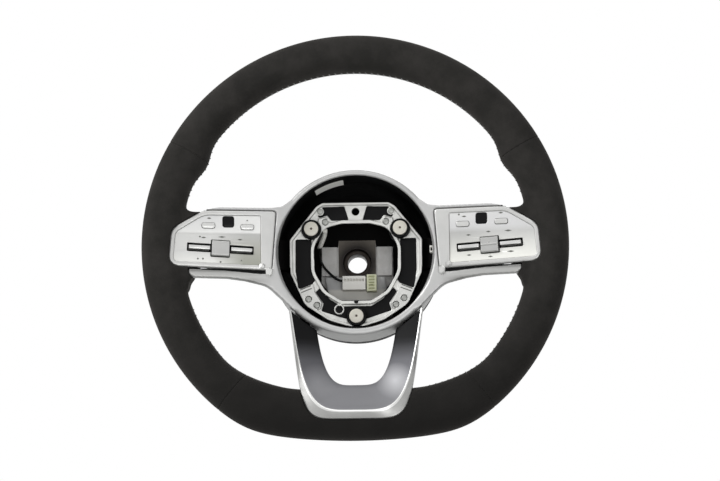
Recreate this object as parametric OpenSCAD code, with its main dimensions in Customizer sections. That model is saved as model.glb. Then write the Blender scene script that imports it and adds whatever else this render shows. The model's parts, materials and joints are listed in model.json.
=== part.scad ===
// Steering wheel of a car, without its airbag: flat-bottomed suede rim, three spokes,
// satin hub bezel with two switch pods, and the open hub behind it.
// X points to the right, Y to the rear (towards the column), Z up.
// The origin is the centre of the column bore, on the rear face of the hub boss.

/* [Rim] */
// Radius of the rim's round part, to its outer edge
rim_r = 185; // [175:0.5:190]
// Height of the round part's centre above the column axis
rim_rise = 5; // [0:0.5:8]
// Drop from the round part's centre to the flat bottom edge
rim_flat = 170; // [162:0.5:176]
// Radius of the slight bow of the flat bottom
flat_bow = 640; // [500:10:2000]
// Distance of the rim's centre plane ahead of the boss's rear face
rim_dish = 90; // [86:0.5:96]
// Width of the grip at the top, seen from the driver
grip_w_top = 33; // [31:0.5:36]
// Width of the grip beside the spokes
grip_w_side = 35; // [33:0.5:38]
// Width of the grip at the lower corners
grip_w_low = 43.5; // [38:0.5:46]
// Depth of the grip, front to rear
grip_depth = 34; // [32:0.5:37]
// Extra width of the thumb rests
thumb_bump = 5.2; // [0:0.2:7]
// Height angle of the thumb rests above the horizontal
thumb_at = 29; // [26:1:34]
// Thickness of the leather
leather_t = 1.2; // [0.8:0.1:1.6]
// Diameter of the cast rod inside the rim
rod_d = 14; // [10:0.5:16]

/* [Hub] */
// Diameter of the column bore
bore_d = 17; // [15:0.5:20]
// Outer diameter of the steel boss
boss_d = 25; // [24:0.5:30]
// Length of the steel boss
boss_l = 20; // [16:0.5:24]
// Distance of the bezel's front ahead of the boss's rear face
bezel_front = 84; // [82:0.5:86]
// Radius of the round hub opening
bezel_r = 66.3; // [64:0.1:68]
// Width of the bezel's front ring
bezel_face = 5.9; // [5.5:0.1:7]
// Radius of the bezel's skirt at its rear edge
skirt_r = 75; // [74:0.5:78]
// Depth of the bezel's skirt
skirt_l = 30; // [24:0.5:32]
// Wall of the moulded covers
cover_t = 2.4; // [1.8:0.1:3]
// Radius of the round opening in the back cover
rear_hole_r = 42; // [36:0.5:46]
// Distance of the contact plate's front ahead of the boss's rear face
plate_front = 66; // [62:0.5:68]
// Thickness of the contact plate
contact_t = 3; // [2:0.1:4]
// Thickness of the black carrier behind the contact plate
carrier_t = 6; // [5:0.5:8]

/* [Horn caps] */
// Diameter of a horn cap
cap_d = 12.3; // [11:0.1:12.6]
// Outer diameter of a horn cup
cup_d = 16.2; // [15.6:0.1:17]
// Travel of a horn cap
horn_travel = 2.5; // [1.5:0.1:3]
// Distance of the upper caps from the middle
cap_x = 38.7; // [37:0.1:40]
// Height of the upper caps above the column axis
cap_z = 23.4; // [22:0.1:25]
// Drop of the bottom cap below the column axis
cap_low = 53.8; // [52:0.1:54.5]

/* [Switch pods] */
// Distance of the pods' hub edge from the middle
pod_x = 70; // [69:0.1:72]
// Angle by which the pods lean forwards to the rim
pod_tilt = 10; // [8:0.5:12]
// Length of a pod
pod_l = 92.8; // [90:0.1:95]
// Top edge of a pod above the column axis
pod_top = 36.6; // [35:0.1:37]
// Bottom edge of a pod below the column axis
pod_low = 15.6; // [15:0.1:17]
// Margin of the pod's frame round the switch plate
pod_margin = 4.4; // [3.5:0.1:5]
// Width of the pod's collar beside the hub
pod_collar = 12; // [10:0.5:13]
// Thickness of the switch plate
plate_t = 2.2; // [1.8:0.1:2.6]
// Length of the rocker slot
slot_l = 58; // [56:0.5:60]
// Height of the rocker slot
slot_h = 7.4; // [6.5:0.1:8]
// Width of the centre rocker
block_w = 15.2; // [14:0.1:16]
// Height of the centre rocker
block_h = 13.4; // [12:0.1:13.6]
// Thickness of a blade rocker
blade_t = 3; // [2.4:0.1:3.2]
// Width of a push button
button_w = 11.2; // [10:0.1:12]
// Height of a push button
button_h = 4.5; // [4:0.1:5]
// Width of the touch pad
pad_w = 9.6; // [9:0.1:10]
// Height of the touch pad
pad_h = 9.3; // [9:0.1:10]
// Travel of a push button
button_travel = 0.8; // [0.4:0.1:0.8]

/* [Lower spoke] */
// Half width of the lower spoke at its top
spoke_half = 57; // [55:0.5:58]
// Half width of its window at the top
window_half = 37; // [34:0.5:38]
// Drop of the trim's bottom edge below the column axis
trim_low = 145.7; // [144:0.1:147]
// Drop of the window's bottom edge below the column axis
window_low = 116.7; // [115:0.1:118]
// Wall of the lower trim
trim_t = 2.5; // [2:0.1:3]

/* [Clearances] */
// Gap between trims that lie edge to edge
trim_gap = 0.4; // [0.3:0.05:0.6]
// Gap round a button or rocker in its opening
key_gap = 0.35; // [0.3:0.05:0.5]
// Gap of glue and close fits
fit_gap = 0.1; // [0.05:0.01:0.2]
// Radial clearance of an axle in its bearing
axle_gap = 0.05; // [0.03:0.01:0.08]

/* [Hidden] */
$fn = 64;
eps = 0.01;

// Outlines with rounded corners, given as [x, z, radius]
function xy(c) = [c[0], c[1]];
function unit(v) = v / norm(v);
function corner_arc(p, q, s, r, n) =
    let (u = unit(p - q), v = unit(s - q), half = acos(u * v) / 2, mid = unit(u + v),
        centre = q + mid * r / sin(half), a = atan2(-mid[1], -mid[0]),
        way = u[0] * v[1] - u[1] * v[0] > 0 ? -1 : 1)
    [for (i = [0:n]) let (t = a + way * (180 - 2 * half) * (i / n - 0.5)) centre + r * [cos(t), sin(t)]];
function rounded(c, n = 4) =
    let (m = len(c))
    [for (k = [0:m - 1])
        let (p = c[(k + m - 1) % m], q = c[k], s = c[(k + 1) % m])
        each q[2] > 0 ? corner_arc(xy(p), xy(q), xy(s), q[2], n) : [xy(q)]];
function inset(c, d) =
    let (m = len(c))
    [for (k = [0:m - 1])
        let (q = xy(c[k]), u = unit(xy(c[(k + m - 1) % m]) - q), v = unit(xy(c[(k + 1) % m]) - q),
            half = acos(u * v) / 2, moved = q + unit(u + v) * d / sin(half))
        [moved[0], moved[1], c[k][2] > 0 ? max(0.2, c[k][2] - d) : 0]];
function box_corners(w, h, r) = [[w / 2, h / 2, r], [-w / 2, h / 2, r], [-w / 2, -h / 2, r], [w / 2, -h / 2, r]];
function both_sides(half) = concat(half, [for (k = [len(half) - 1:-1:0]) [-half[k][0], half[k][1], half[k][2]]]);
function ease(u) = let (v = min(1, max(0, u))) v * v * (3 - 2 * v);

// Solids laid out along Y: an outline in X and Z from depth y0 to y1, and turned or round ones
module slab(y0, y1) translate([0, y1, 0]) rotate([90, 0, 0]) linear_extrude(y1 - y0) children();
module turned() rotate([-90, 0, 0]) rotate_extrude($fn = 96) children();
module pin(r, y0, y1) translate([0, y0, 0]) rotate([-90, 0, 0]) cylinder(r = r, h = y1 - y0);
module along_x(x0, x1) translate([x0, 0, 0]) rotate([90, 0, 90]) linear_extrude(x1 - x0) children();
module on_side(side) mirror([side < 0 ? 1 : 0, 0, 0]) children();

// A closed surface through rings of points; closed = false caps both ends
module skin_rings(rings, closed) {
    n = len(rings[0]);
    m = len(rings);
    last = closed ? m - 1 : m - 2;
    walls = [for (i = [0:last], j = [0:n - 1])
        let (a = i * n + j, b = i * n + (j + 1) % n, c = ((i + 1) % m) * n + (j + 1) % n, d = ((i + 1) % m) * n + j)
        each [[a, c, b], [a, d, c]]];
    caps = closed ? [] : [[for (j = [0:n - 1]) j], [for (j = [n - 1:-1:0]) (m - 1) * n + j]];
    polyhedron([for (r = rings) each r], concat(walls, caps), convexity = 6);
}

// Rim: its outer edge is a circle blended into the bowed flat bottom
rim_step = 5;
rim_sides = 14;
corner_power = 40;
section_power = 0.87;
thumb_spread = 5.5;
rod_step = 7.5;
rod_sides = 8;
rod_r = rod_d / 2;
foam_inset = leather_t + fit_gap;
function rim_out(a) =
    let (s = -sin(a), x = rim_r * cos(a))
    s < 0.3 ? rim_r : rim_r * pow(1 + pow(rim_r * s / (rim_flat - x * x / (2 * flat_bow)), corner_power), -1 / corner_power);
function height_angle(a) = asin(sin(a));
function grip_w(a) =
    let (h = height_angle(a))
    grip_w_top + (grip_w_side - grip_w_top) * ease((40 - h) / 40)
    + (grip_w_low - grip_w_side) * ease((-40 - h) / 22)
    + thumb_bump * exp(-pow((h - thumb_at) / thumb_spread, 2));
function rim_mid(a) = rim_out(a) - grip_w(a) / 2;
function soft_square(c) = sign(c) * pow(abs(c), section_power);
function rim_point(a, u, y) = [u * cos(a), y - rim_dish, rim_rise + u * sin(a)];
function grip_ring(a, d) =
    [for (j = [0:rim_sides - 1])
        let (t = 360 * j / rim_sides)
        rim_point(a, rim_mid(a) + (grip_w(a) / 2 - d) * soft_square(cos(t)), (grip_depth / 2 - d) * soft_square(sin(t)))];
function rod_ring(a, r) =
    [for (j = [0:rod_sides - 1])
        let (t = 360 * (j + 0.5) / rod_sides)
        rim_point(a, rim_mid(a) + r * cos(t), r * sin(t))];

module rim_body(d) skin_rings([for (a = [0:rim_step:360 - rim_step]) grip_ring(a, d)], true);
module rim_arc(d, a0, a1) skin_rings([for (a = [a0:rim_step:a1]) grip_ring(a, d)], false);
module rim_rod(r) skin_rings([for (a = [0:rod_step:360 - rod_step]) rod_ring(a, r)], true);

// A sleeve of leather round the grip from angle a0 to a1
module sleeve(a0, a1) {
    n = rim_sides;
    rings = [for (a = [a0:rim_step:a1]) concat(grip_ring(a, 0), grip_ring(a, leather_t))];
    m = len(rings);
    w = 2 * n;
    walls = [for (i = [0:m - 2], j = [0:n - 1])
        let (k = (j + 1) % n, a = i * w + j, b = i * w + k, c = a + w, d = b + w)
        each [[a, d, b], [a, c, d], [a + n, b + n, d + n], [a + n, d + n, c + n]]];
    ends = [for (j = [0:n - 1])
        let (k = (j + 1) % n, e = (m - 1) * w)
        each [[j, k + n, j + n], [j, k, k + n], [e + j, e + j + n, e + k + n], [e + j, e + k + n, e + k]]];
    polyhedron([for (r = rings) each r], concat(walls, ends), convexity = 6);
}

// Spoke roots: blocks of foam that carry the outer ends of the pods
root_top = 35.3;
root_low = 23.5;
root_in = 129;
root_fillet_top = 6;
root_fillet_low = 4;
root_edge_top = 146;
root_edge_low = 144.5;
root_buried = 170;
root_front = 100;
root_rear = 73.5;
function root_outline() =
    [[root_buried, root_top + root_fillet_top, 0], [root_edge_top, root_top + root_fillet_top, 0],
        [root_edge_top, root_top, root_fillet_top], [root_in, root_top, 0], [root_in, -root_low, 0],
        [root_edge_low, -root_low, root_fillet_low], [root_edge_low, -root_low - root_fillet_low, 0],
        [root_buried, -root_low - root_fillet_low, 0]];

// Pods: outlines in the pod's own frame, x from the hub outwards along the face, y to the rear
pod_shoulder = 62.5;
pod_tip_top = 19.6;
pod_low_rise = 3.2;
pod_lean = 4.2;
frame_lip = 0.9;
frame_t = 5;
ledge = 1.8;
housing_end = 80;
housing_wall = 1.6;
housing_depth = 11;
board_y = 7.4;
board_t = 1.2;
floor_y = housing_depth - 1.4;
function pod_corners(hub_x, lean, top) =
    [[hub_x - lean * 0.4, top, 2.5], [pod_shoulder, top, 24], [pod_l - 2.8, pod_tip_top, 11],
        [pod_l, -pod_low + pod_low_rise, 8], [hub_x + lean * 0.6, -pod_low, 2.5]];
pod_outline = pod_corners(0, pod_lean, pod_top);
plate_outline = inset(pod_corners(pod_collar - pod_margin, 0, pod_top), pod_margin);
housing_margin = 3.2;
housing_outline = [[housing_margin + 0.4, pod_top - housing_margin, 2], [pod_shoulder - 4, pod_top - housing_margin, 12],
    [housing_end, pod_tip_top + 2.2, 2], [housing_end, -pod_low + housing_margin + 2.8, 2],
    [housing_margin + 1.6, -pod_low + housing_margin, 2]];

module at_pod(side) on_side(side) translate([pod_x, -bezel_front - 2, 0]) rotate([0, 0, -pod_tilt]) children();
module pod_pocket() {
    slab(-40, frame_t + trim_gap) polygon(rounded(inset(pod_outline, -trim_gap)));
    slab(frame_t - 1, housing_depth + trim_gap) polygon(rounded(inset(housing_outline, -trim_gap)));
}

// The bar of rockers lies on its own slightly turned line across the plate
bar_x = 47;
bar_z = 3.1;
bar_turn = 2.8;
axle_y = 5.6;
axle_r = 1;
axle_stub = 0.75;
rib_t = 1.1;
rib_gap = 0.3;
key_flange = 1.1;
blade_out = 1.8;
block_out = 2.6;
module at_bar() translate([bar_x, 0, bar_z]) rotate([0, -bar_turn, 0]) children();
blade_x0 = block_w / 2 + rib_t + 2 * rib_gap;
blade_x1 = slot_l / 2 - 1.5;

// Buttons and pad: [x, z, width, height, corner]
outer_key = [57.4, 23.2, button_w, button_h, 1.6];
inner_key = [23.6, 22.2, button_w, button_h, 1.6];
pad_key = [40.1, 26.6, pad_w, pad_h, 1.8];
module key_outline(k, d) translate([k[0], k[1]]) polygon(rounded(box_corners(k[2] + 2 * d, k[3] + 2 * d, k[4] + d)));

// Bezel arms under the pods, and its thin strip over them, in the pod's frame
arm_tip = 74.5;
arm_low = 22.7;
arm_t = 7;
wing_tip = [[arm_tip + 0.5, 0, 0], [arm_tip, -19, 2], [arm_tip - 3.5, -arm_low + 0.6, 2], [40, -arm_low, 0]];
bezel_wing = concat([[-22, 46, 0], [-14, 46, 0], [-7, pod_top + 4.4, 8], [2, pod_top + 3, 0], [48, pod_top + 2.8, 20],
    [pod_shoulder - 1, pod_top + trim_gap, 0], [pod_shoulder - 1, 0, 0]], wing_tip,
    [[25, -arm_low - 1.9, 30], [6, -29, 20], [-7, -41, 20], [-17, -50.5, 0], [-22, -50.5, 0]]);
strip_end = [[pod_shoulder - 1, pod_top + 4, 0], [pod_shoulder - 1, 20, 0], [40, 20, 0], [40, pod_top + 4, 0]];
module wing_seat(d) slab(-40, arm_t + d) {
    polygon(rounded(inset(concat(wing_tip, [[40, 0, 0]]), -d)));
    polygon(rounded(inset(strip_end, -d)));
}
arm_groove = [[5, -pod_low + 1, 0], [arm_tip + 2, -pod_low + 4, 0], [arm_tip + 2, -14.8, 0], [40, -16.2, 10],
    [12, -pod_low - 3, 2], [5, -pod_low - 2.6, 1]];

// Lower spoke: three lines round the U, each a tapered rounded arch below z = -u_top
u_top = sqrt(pow(skirt_r, 2) - pow(spoke_half, 2)) - 1;
u_step = 7.5;
fold_low = 138.2;
ridge_top = 83;
ridge_low = 109;
trim_depth = 9.5;
inner_drop = 20;
drop_share = 0.38;
function arch(t, half, low, taper, power) =
    let (f = pow(sin(t), 2 / power), g = pow(abs(cos(t)), 2 / power) * sign(cos(t)))
    [half * (1 - taper * f) * g, -u_top - (low - u_top) * f];
function outer_arch(t, d) = arch(t, spoke_half - d, trim_low - d, 0.2, 5);
function fold_arch(t, d) = arch(t, spoke_half - 1 - d, fold_low - d, 0.22, 3.6);
function window_arch(t, d) = arch(t, window_half + d, window_low + d, 0.25, 4);
function down(z) = min(1, max(0, (-z - u_top) / (fold_low - u_top)));
function ridge_y(z) = -ridge_top - (ridge_low - ridge_top) * down(z);
function at_depth(p, y) = [p[0], y, p[1]];
function front_y(t) = ridge_y(fold_arch(t, 0)[1]);
function window_y(t) = front_y(t) + inner_drop * (drop_share + (1 - drop_share) * down(fold_arch(t, 0)[1]));
function trim_ring(t) =
    let (o = outer_arch(t, 0), w = window_arch(t, 0), y = front_y(t))
    [at_depth(o, y + trim_depth), at_depth(o, y + 2.5), at_depth(fold_arch(t, 0), y), at_depth(w, window_y(t)),
        at_depth(w, window_y(t) + trim_t), at_depth(fold_arch(t, trim_t), y + trim_t + 1.2),
        at_depth(outer_arch(t, trim_t), y + trim_depth)];
module trim_shell() skin_rings([for (t = [0:u_step:180]) trim_ring(t)], false);

// The space that the trim takes out of the rim, open to the front
function seat_ring(t, d) =
    let (o = outer_arch(t, -d), w = window_arch(t, -d))
    [at_depth(o, front_y(t) + trim_depth + d), at_depth(o, -140), at_depth(w, -140), at_depth(w, window_y(t) + trim_t + d)];
module trim_seat(d) skin_rings([for (t = [0:u_step:180]) seat_ring(t, d)], false);

// Armature: the arms' section in X and Y, and the legs of the lower spoke
arm_z0 = -11;
arm_z1 = 15;
arm_section = [[54, -50], [58.5, -57.5], [76, -73.5], [100, -79], [140, -84.5], [168, -87.5], [168, -81], [140, -79],
    [100, -73], [82, -67], [66, -52], [58, -40], [54, -40]];
leg_w = 9;
leg_t = 8;
leg_root = [42, -38, -42];
leg_bend = [46, -70, -60];
leg_end = [33, -88, -143];
hub_floor = 14;
hub_floor_t = 10;
wall_t = 4;
plate_rear = plate_front - contact_t;
carrier_rear = plate_rear - carrier_t;
hub_outline = both_sides([[29, 46.8, 4], [34.5, 43.5, 4], [58, 14, 5], [57.4, -15, 8], [45, -43, 12], [24, -57, 12], [8, -62, 4]]);
opening_outline = both_sides([[22, 29.6, 8], [38.4, 14, 7], [38.4, -12, 8], [19, -39, 8]]);

module boxed(centre, size) translate(centre) cube(size, center = true);
module leg_piece(p, q, d) hull() for (c = [p, q]) boxed(c, [leg_w + 2 * d, leg_t + 2 * d, 2 + 2 * d]);
module leg(side, d) on_side(side) {
    leg_piece(leg_root, leg_bend, d);
    leg_piece(leg_bend, leg_end, d);
}
module arm(side, d) on_side(side) translate([0, 0, arm_z0 - d]) linear_extrude(arm_z1 - arm_z0 + 2 * d)
    polygon(arm_section);
module arm_hole(side, d) for (s = [-1, 1]) translate([0, s * d, 0]) arm(side, d);

hub_pad = [13, 12, 25.6];
hub_pad_at = [24.3, -hub_floor - hub_floor_t, 0.5];
cover_screw_ring = 48;
cover_shank_r = 2;
cover_post_r = 5;
cover_rear = 4;
module cover_screw_places() for (a = [45, 135, 225, 315]) rotate([0, a, 0]) translate([cover_screw_ring, 0, 0]) children();

module armature() color("#8f9092") difference() {
    union() {
        rim_rod(rod_r);
        for (side = [-1, 1]) {
            arm(side, 0);
            leg(side, 0);
        }
        slab(-carrier_rear, -hub_floor) polygon(rounded(inset(hub_outline, 1.5)));
        pin(boss_d / 2 + 6, -hub_floor - eps, -3);
        cover_screw_places() pin(cover_post_r, -hub_floor - eps, -cover_rear - cover_t);
    }
    difference() {
        slab(-carrier_rear - 1, -hub_floor - hub_floor_t) polygon(rounded(inset(hub_outline, 1.5 + wall_t)));
        for (side = [-1, 1]) on_side(side) boxed(hub_pad_at, hub_pad);
    }
    pin(boss_d / 2 + fit_gap / 2, -40, 5);
    cover_screw_places() pin(cover_shank_r + axle_gap, -hub_floor - 5, 0);
    horn_places() pin(cup_r + boss_wall + trim_gap, -carrier_rear - 1, -cup_front + cup_depth + 1);
}

module hub_boss() color("#4a4743") difference() {
    union() {
        pin(boss_d / 2, -boss_l, 0);
        pin(boss_d / 2 + 3, -3 + fit_gap, 0);
    }
    pin(bore_d / 2, -boss_l - 1, 1);
}

module root_block(d, y0, y1) slab(y0, y1) polygon(rounded(inset(root_outline(), -d)));

module rim_foam() color("#2a2a2b") difference() {
    union() {
        rim_body(foam_inset);
        for (side = [-1, 1]) on_side(side) root_block(0, -root_front, -root_rear);
    }
    rim_rod(rod_r + fit_gap);
    for (side = [-1, 1]) {
        arm_hole(side, fit_gap);
        leg(side, fit_gap);
        at_pod(side) pod_pocket();
        at_pod(side) wing_seat(trim_gap);
    }
    trim_seat(trim_gap);
}

module leather_cut() {
    for (side = [-1, 1]) {
        on_side(side) root_block(fit_gap, -root_front, -root_rear + fit_gap);
        at_pod(side) pod_pocket();
        leg(side, fit_gap);
    }
    trim_seat(trim_gap);
}
module leather_top() color("#30302f") sleeve(30, 150);
module leather_left() color("#30302f") difference() {
    sleeve(150, 230);
    leather_cut();
}
module leather_right() color("#30302f") difference() {
    sleeve(-50, 30);
    leather_cut();
}
module leather_bottom() color("#262625") difference() {
    sleeve(230, 310);
    leather_cut();
}

// Cuts that the arms and legs need through the covers
module spoke_cuts(d) for (side = [-1, 1]) {
    on_side(side) boxed([68, -60.5, (arm_z0 + arm_z1) / 2], [26, 27, arm_z1 - arm_z0 + 2 * d]);
    leg(side, d);
}

module bezel_ring() turned() polygon([[bezel_r, -bezel_front + 1], [bezel_r + 1.2, -bezel_front],
    [bezel_r + bezel_face - 1, -bezel_front], [bezel_r + bezel_face + 0.5, -bezel_front + 1.4],
    [skirt_r, -bezel_front + skirt_l], [skirt_r - cover_t, -bezel_front + skirt_l],
    [bezel_r + bezel_face - 1.8, -bezel_front + 4], [bezel_r, -bezel_front + 4]]);
module bezel_wings() for (side = [-1, 1]) difference() {
    at_pod(side) slab(-frame_lip, arm_t) polygon(rounded(bezel_wing));
    pin(bezel_r + 2, -bezel_front - 30, 0);
    pin(bezel_r + bezel_face - 1.8, -bezel_front + 4, 0);
    at_pod(side) slab(-20, 20) polygon(rounded(arm_groove));
}
module hub_bezel() color("#d6d6d4") difference() {
    union() {
        bezel_ring();
        bezel_wings();
    }
    for (side = [-1, 1]) at_pod(side) pod_pocket();
    spoke_cuts(trim_gap);
}

module lower_trim() color("#c8c8c8") difference() {
    trim_shell();
    pin(skirt_r + trim_gap, -bezel_front - 30, -20);
}

// Cover behind the lower spoke: an open channel that hides the armature's legs
cover_depth = 29;
cover_inset = 1.5;
function cover_ring(t) =
    let (o = outer_arch(t, cover_inset), w = window_arch(t, 0.5), wi = window_arch(t, 0.5 + cover_t),
        oi = outer_arch(t, cover_inset + cover_t), y = front_y(t) + trim_depth + trim_gap,
        yw = window_y(t) + trim_t + trim_gap, rear = front_y(t) + cover_depth)
    [at_depth(o, y), at_depth(oi, y), at_depth(oi, rear - cover_t), at_depth(wi, rear - cover_t), at_depth(wi, yw),
        at_depth(w, yw), at_depth(w, rear - 2), at_depth(window_arch(t, 3), rear),
        at_depth(outer_arch(t, cover_inset + 3), rear), at_depth(o, rear - 3)];
module lower_cover() color("#1c1c1d") difference() {
    skin_rings([for (t = [0:u_step:180]) cover_ring(t)], false);
    pin(skirt_r + trim_gap, -bezel_front - 30, 20);
    rim_arc(-trim_gap, 235, 305);
}

// Covers behind the pods: open boxes that hide the arms and the backs of the pods
arm_cover_z0 = -14;
arm_cover_z1 = 33;
arm_cover_t = 2;
arm_cover_out = root_in - 0.5;
arm_cover_in = 83;
arm_cover_rear = [[arm_cover_in, -63.5], [100, -69.6], [arm_cover_out, -73.8]];
arm_cover_front = -90;
function arm_cover_outline(past) =
    concat([for (k = [0:2]) arm_cover_rear[k] + [(k - 1) * past, 0]],
        [[arm_cover_out + past, arm_cover_front], [arm_cover_in - past, arm_cover_front]]);
module arm_cover(side) color("#1b1b1c") on_side(side) difference() {
    translate([0, 0, arm_cover_z0]) linear_extrude(arm_cover_z1 - arm_cover_z0) polygon(arm_cover_outline(0));
    translate([0, -arm_cover_t, arm_cover_z0 + arm_cover_t]) linear_extrude(arm_cover_z1 - arm_cover_z0 - 2 * arm_cover_t)
        polygon(arm_cover_outline(1));
    at_pod(1) pod_pocket();
    at_pod(1) slab(-40, arm_t + trim_gap) translate([-20, -60]) square([120, 120]);
}

// Back cover: a liner inside the bezel, a step behind its skirt and a bowl to the rear
liner_r = bezel_r + 1.4;
bowl_front = bezel_front - skirt_l - trim_gap;
bowl_rear_r = 56;
module back_cover() color("#161617") difference() {
    turned() polygon(concat([[liner_r, -bezel_front + 4.2], [liner_r + cover_t, -bezel_front + 4.2],
        [liner_r + cover_t, -bowl_front], [skirt_r, -bowl_front]],
        [for (t = [15:15:90]) [bowl_rear_r + (skirt_r - bowl_rear_r) * cos(t), -bowl_front + (bowl_front - cover_rear) * sin(t)]],
        [[rear_hole_r, -cover_rear], [rear_hole_r, -cover_rear - cover_t]],
        [for (t = [90:-15:15]) [bowl_rear_r - cover_t + (skirt_r - bowl_rear_r) * cos(t),
            -bowl_front + (bowl_front - cover_rear - cover_t) * sin(t)]],
        [[skirt_r - cover_t - 0.4, -bowl_front + cover_t], [liner_r, -bowl_front + cover_t]]));
    spoke_cuts(trim_gap);
    cover_screw_places() pin(cover_shank_r + axle_gap, -hub_floor, 0);
}

// Carrier frame, contact plate and the horn units on it
cap_places = [[-cap_x, cap_z], [cap_x, cap_z], [0, -cap_low]];
cup_r = cup_d / 2;
cup_front = plate_front + 3.4;
cup_lip = 3;
cup_floor = 2;
cap_r = cap_d / 2;
cap_front = cup_front + 1.2;
cap_flange = 0.9;
cup_bore_r = cap_r + 0.95;
boss_wall = 2;
cap_skirt = 3;
spring_gap = 0.05;
spring_len = 2 * horn_travel + 6.6;
cup_depth = cup_lip + fit_gap + cap_skirt + 2 * spring_gap + spring_len + cup_floor;
cap_rear = -cup_front + cup_lip + fit_gap + cap_skirt;
spring_r = 4.4;
wire_r = 0.5;
spring_turns = 3;
screw_places = [[30.9, 39.3], [26.4, 29.8], [41.6, -38], [34.4, -43.5]];
screw_r = 2.6;
shank_r = 1.4;
wall_w = 2;
tab_hole_r = 3.3;
side_pocket = [[54.8, 11, 1], [40.8, 11, 1], [40.8, -11, 1], [36.5, -16.5, 1], [51, -22.5, 1], [54.8, -15, 1]];
top_pocket = [[26, 43, 2], [9.5, 43.4, 1], [5, 32.6, 1], [20, 32.4, 3], [29.5, 33.5, 2]];
low_pocket = both_sides([[19.5, -41.5, 0], [31.5, -26.5, 1], [36, -31.5, 1], [28.5, -42, 1], [30.5, -48.5, 1], [9, -55.5, 1]]);
label_from = 99;
label_to = 122;

module horn_places() for (p = cap_places) translate([p[0], 0, p[1]]) children();
module screw_holes(r, y0, y1) for (side = [-1, 1], p = screw_places) translate([side * p[0], 0, p[1]]) pin(r, y0, y1);

module carrier_frame() color("#141414") difference() {
    union() {
        slab(-plate_rear, -carrier_rear) polygon(rounded(inset(hub_outline, 1)));
        horn_places() pin(cup_r + boss_wall, -plate_rear, -carrier_rear + 6);
    }
    slab(-plate_rear - 1, -carrier_rear + 10) difference() {
        polygon(rounded(opening_outline));
        for (p = cap_places) translate(p) circle(r = cup_r + boss_wall);
    }
    horn_places() pin(cup_r + fit_gap, -plate_rear - 1, -20);
    screw_holes(shank_r + axle_gap, -plate_rear - 1, -carrier_rear - 1.5);
    translate([0, 0, 38.9]) pin(tab_hole_r, -plate_rear - 1, -20);
}

module contact_plate() color("#b9bab8") difference() {
    union() {
        slab(-plate_rear - 1.2, -plate_rear) polygon(rounded(hub_outline));
        slab(-plate_front, -plate_rear) difference() {
            polygon(rounded(hub_outline));
            polygon(rounded(inset(hub_outline, wall_w)));
        }
        slab(-plate_front, -plate_rear) difference() {
            polygon(rounded(inset(opening_outline, -wall_w)));
            polygon(rounded(opening_outline));
        }
    }
    slab(-plate_front - 1, 0) {
        polygon(rounded(opening_outline));
        polygon(rounded(top_pocket));
        mirror([1, 0]) polygon(rounded(top_pocket));
        polygon(rounded(side_pocket));
        mirror([1, 0]) polygon(rounded(side_pocket));
        polygon(rounded(low_pocket));
    }
    horn_places() pin(cup_r + trim_gap, -plate_front - 1, 0);
    screw_holes(shank_r + axle_gap, -plate_front - 1, 0);
    screw_holes(screw_r + fit_gap, -plate_front - 1, -plate_rear - 1.2);
    translate([0, 0, 38.9]) pin(tab_hole_r, -plate_front - 1, 0);
}

module plate_screws() color("#9c9c98") for (side = [-1, 1], p = screw_places) translate([side * p[0], 0, p[1]]) {
    pin(screw_r, -plate_rear - 2.6, -plate_rear - 1.2);
    pin(shank_r, -plate_rear - 2, -carrier_rear - 2);
}

module horn_cup(k) translate([cap_places[k][0], 0, cap_places[k][1]]) color("#101010") difference() {
    pin(cup_r, -cup_front, -cup_front + cup_depth);
    pin(cap_r + 0.25, -cup_front - 1, -cup_front + cup_lip + 1);
    pin(cup_bore_r, -cup_front + cup_lip, -cup_front + cup_depth - cup_floor);
}
module horn_cap(k) translate([cap_places[k][0], 0, cap_places[k][1]]) color("#e0dccf") difference() {
    union() {
        pin(cap_r, -cap_front, cap_rear);
        pin(cup_bore_r - 0.2, cap_rear - cap_skirt, cap_rear);
    }
    pin(1, -cap_front - 1, -cap_front + 1.2);
}
spring_front = cap_rear + spring_gap;
spring_rear = spring_front + spring_len;
function coil_ring(s) =
    let (y = spring_front + wire_r + (spring_rear - spring_front - 2 * wire_r) * s, a = 360 * spring_turns * s)
    [for (j = [0:5]) let (u = spring_r + wire_r * cos(60 * j)) [u * cos(a), y + wire_r * sin(60 * j), u * sin(a)]];
module horn_spring(k) translate([cap_places[k][0], 0, cap_places[k][1]]) color("#8d8d8d")
    mirror([0, 0, 1]) skin_rings([for (i = [0:30]) coil_ring(i / 30)], false);

// Electrics in the hub floor
module control_module() color("#77787a") difference() {
    slab(-38, -hub_floor - hub_floor_t) polygon(rounded([[24, -15, 2], [-28, -15, 2], [-24, -34, 3], [-15, -42, 3], [15, -42, 3], [26, -30, 3]]));
    boxed([-2.5, -38, -21], [21, 4, 13]);
    boxed([13, -38, -21], [9.4, 4, 15.4]);
}
module white_connector() color("#e6e6e2") difference() {
    boxed([-2.5, -40.9, -21], [20, 9.7, 12]);
    for (i = [-3:3]) boxed([-2.5 + i * 2.6, -45, -18.5], [1.6, 4, 2.4]);
}
module yellow_connector() color("#c9cf9a") difference() {
    boxed([13, -40.9, -21], [8.6, 9.7, 14.6]);
    for (i = [-2:2]) boxed([13, -45, -21 + i * 2.6], [5, 4, 1.4]);
}
lead_route = [[-26.8, -64, 22.9], [-27, -60, 22.2], [-27.6, -55.6, 20], [-29.6, -51, 15.8], [-32.2, -46, 11], [-33, -41, 5],
    [-31.6, -38, -1], [-28, -37.4, -7], [-23.4, -38.6, -12], [-18.4, -40.2, -16.4], [-14.4, -41, -18.4], [-12.6, -41, -18.6]];
lead_r = 1.1;
function lead_ring(k) =
    let (n = len(lead_route), p = lead_route[k], d = unit(lead_route[min(n - 1, k + 1)] - lead_route[max(0, k - 1)]),
        u = unit(cross(d, [0, 1, 0])), v = cross(d, u))
    [for (j = [0:7]) p + lead_r * (u * cos(45 * j) + v * sin(45 * j))];
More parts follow.
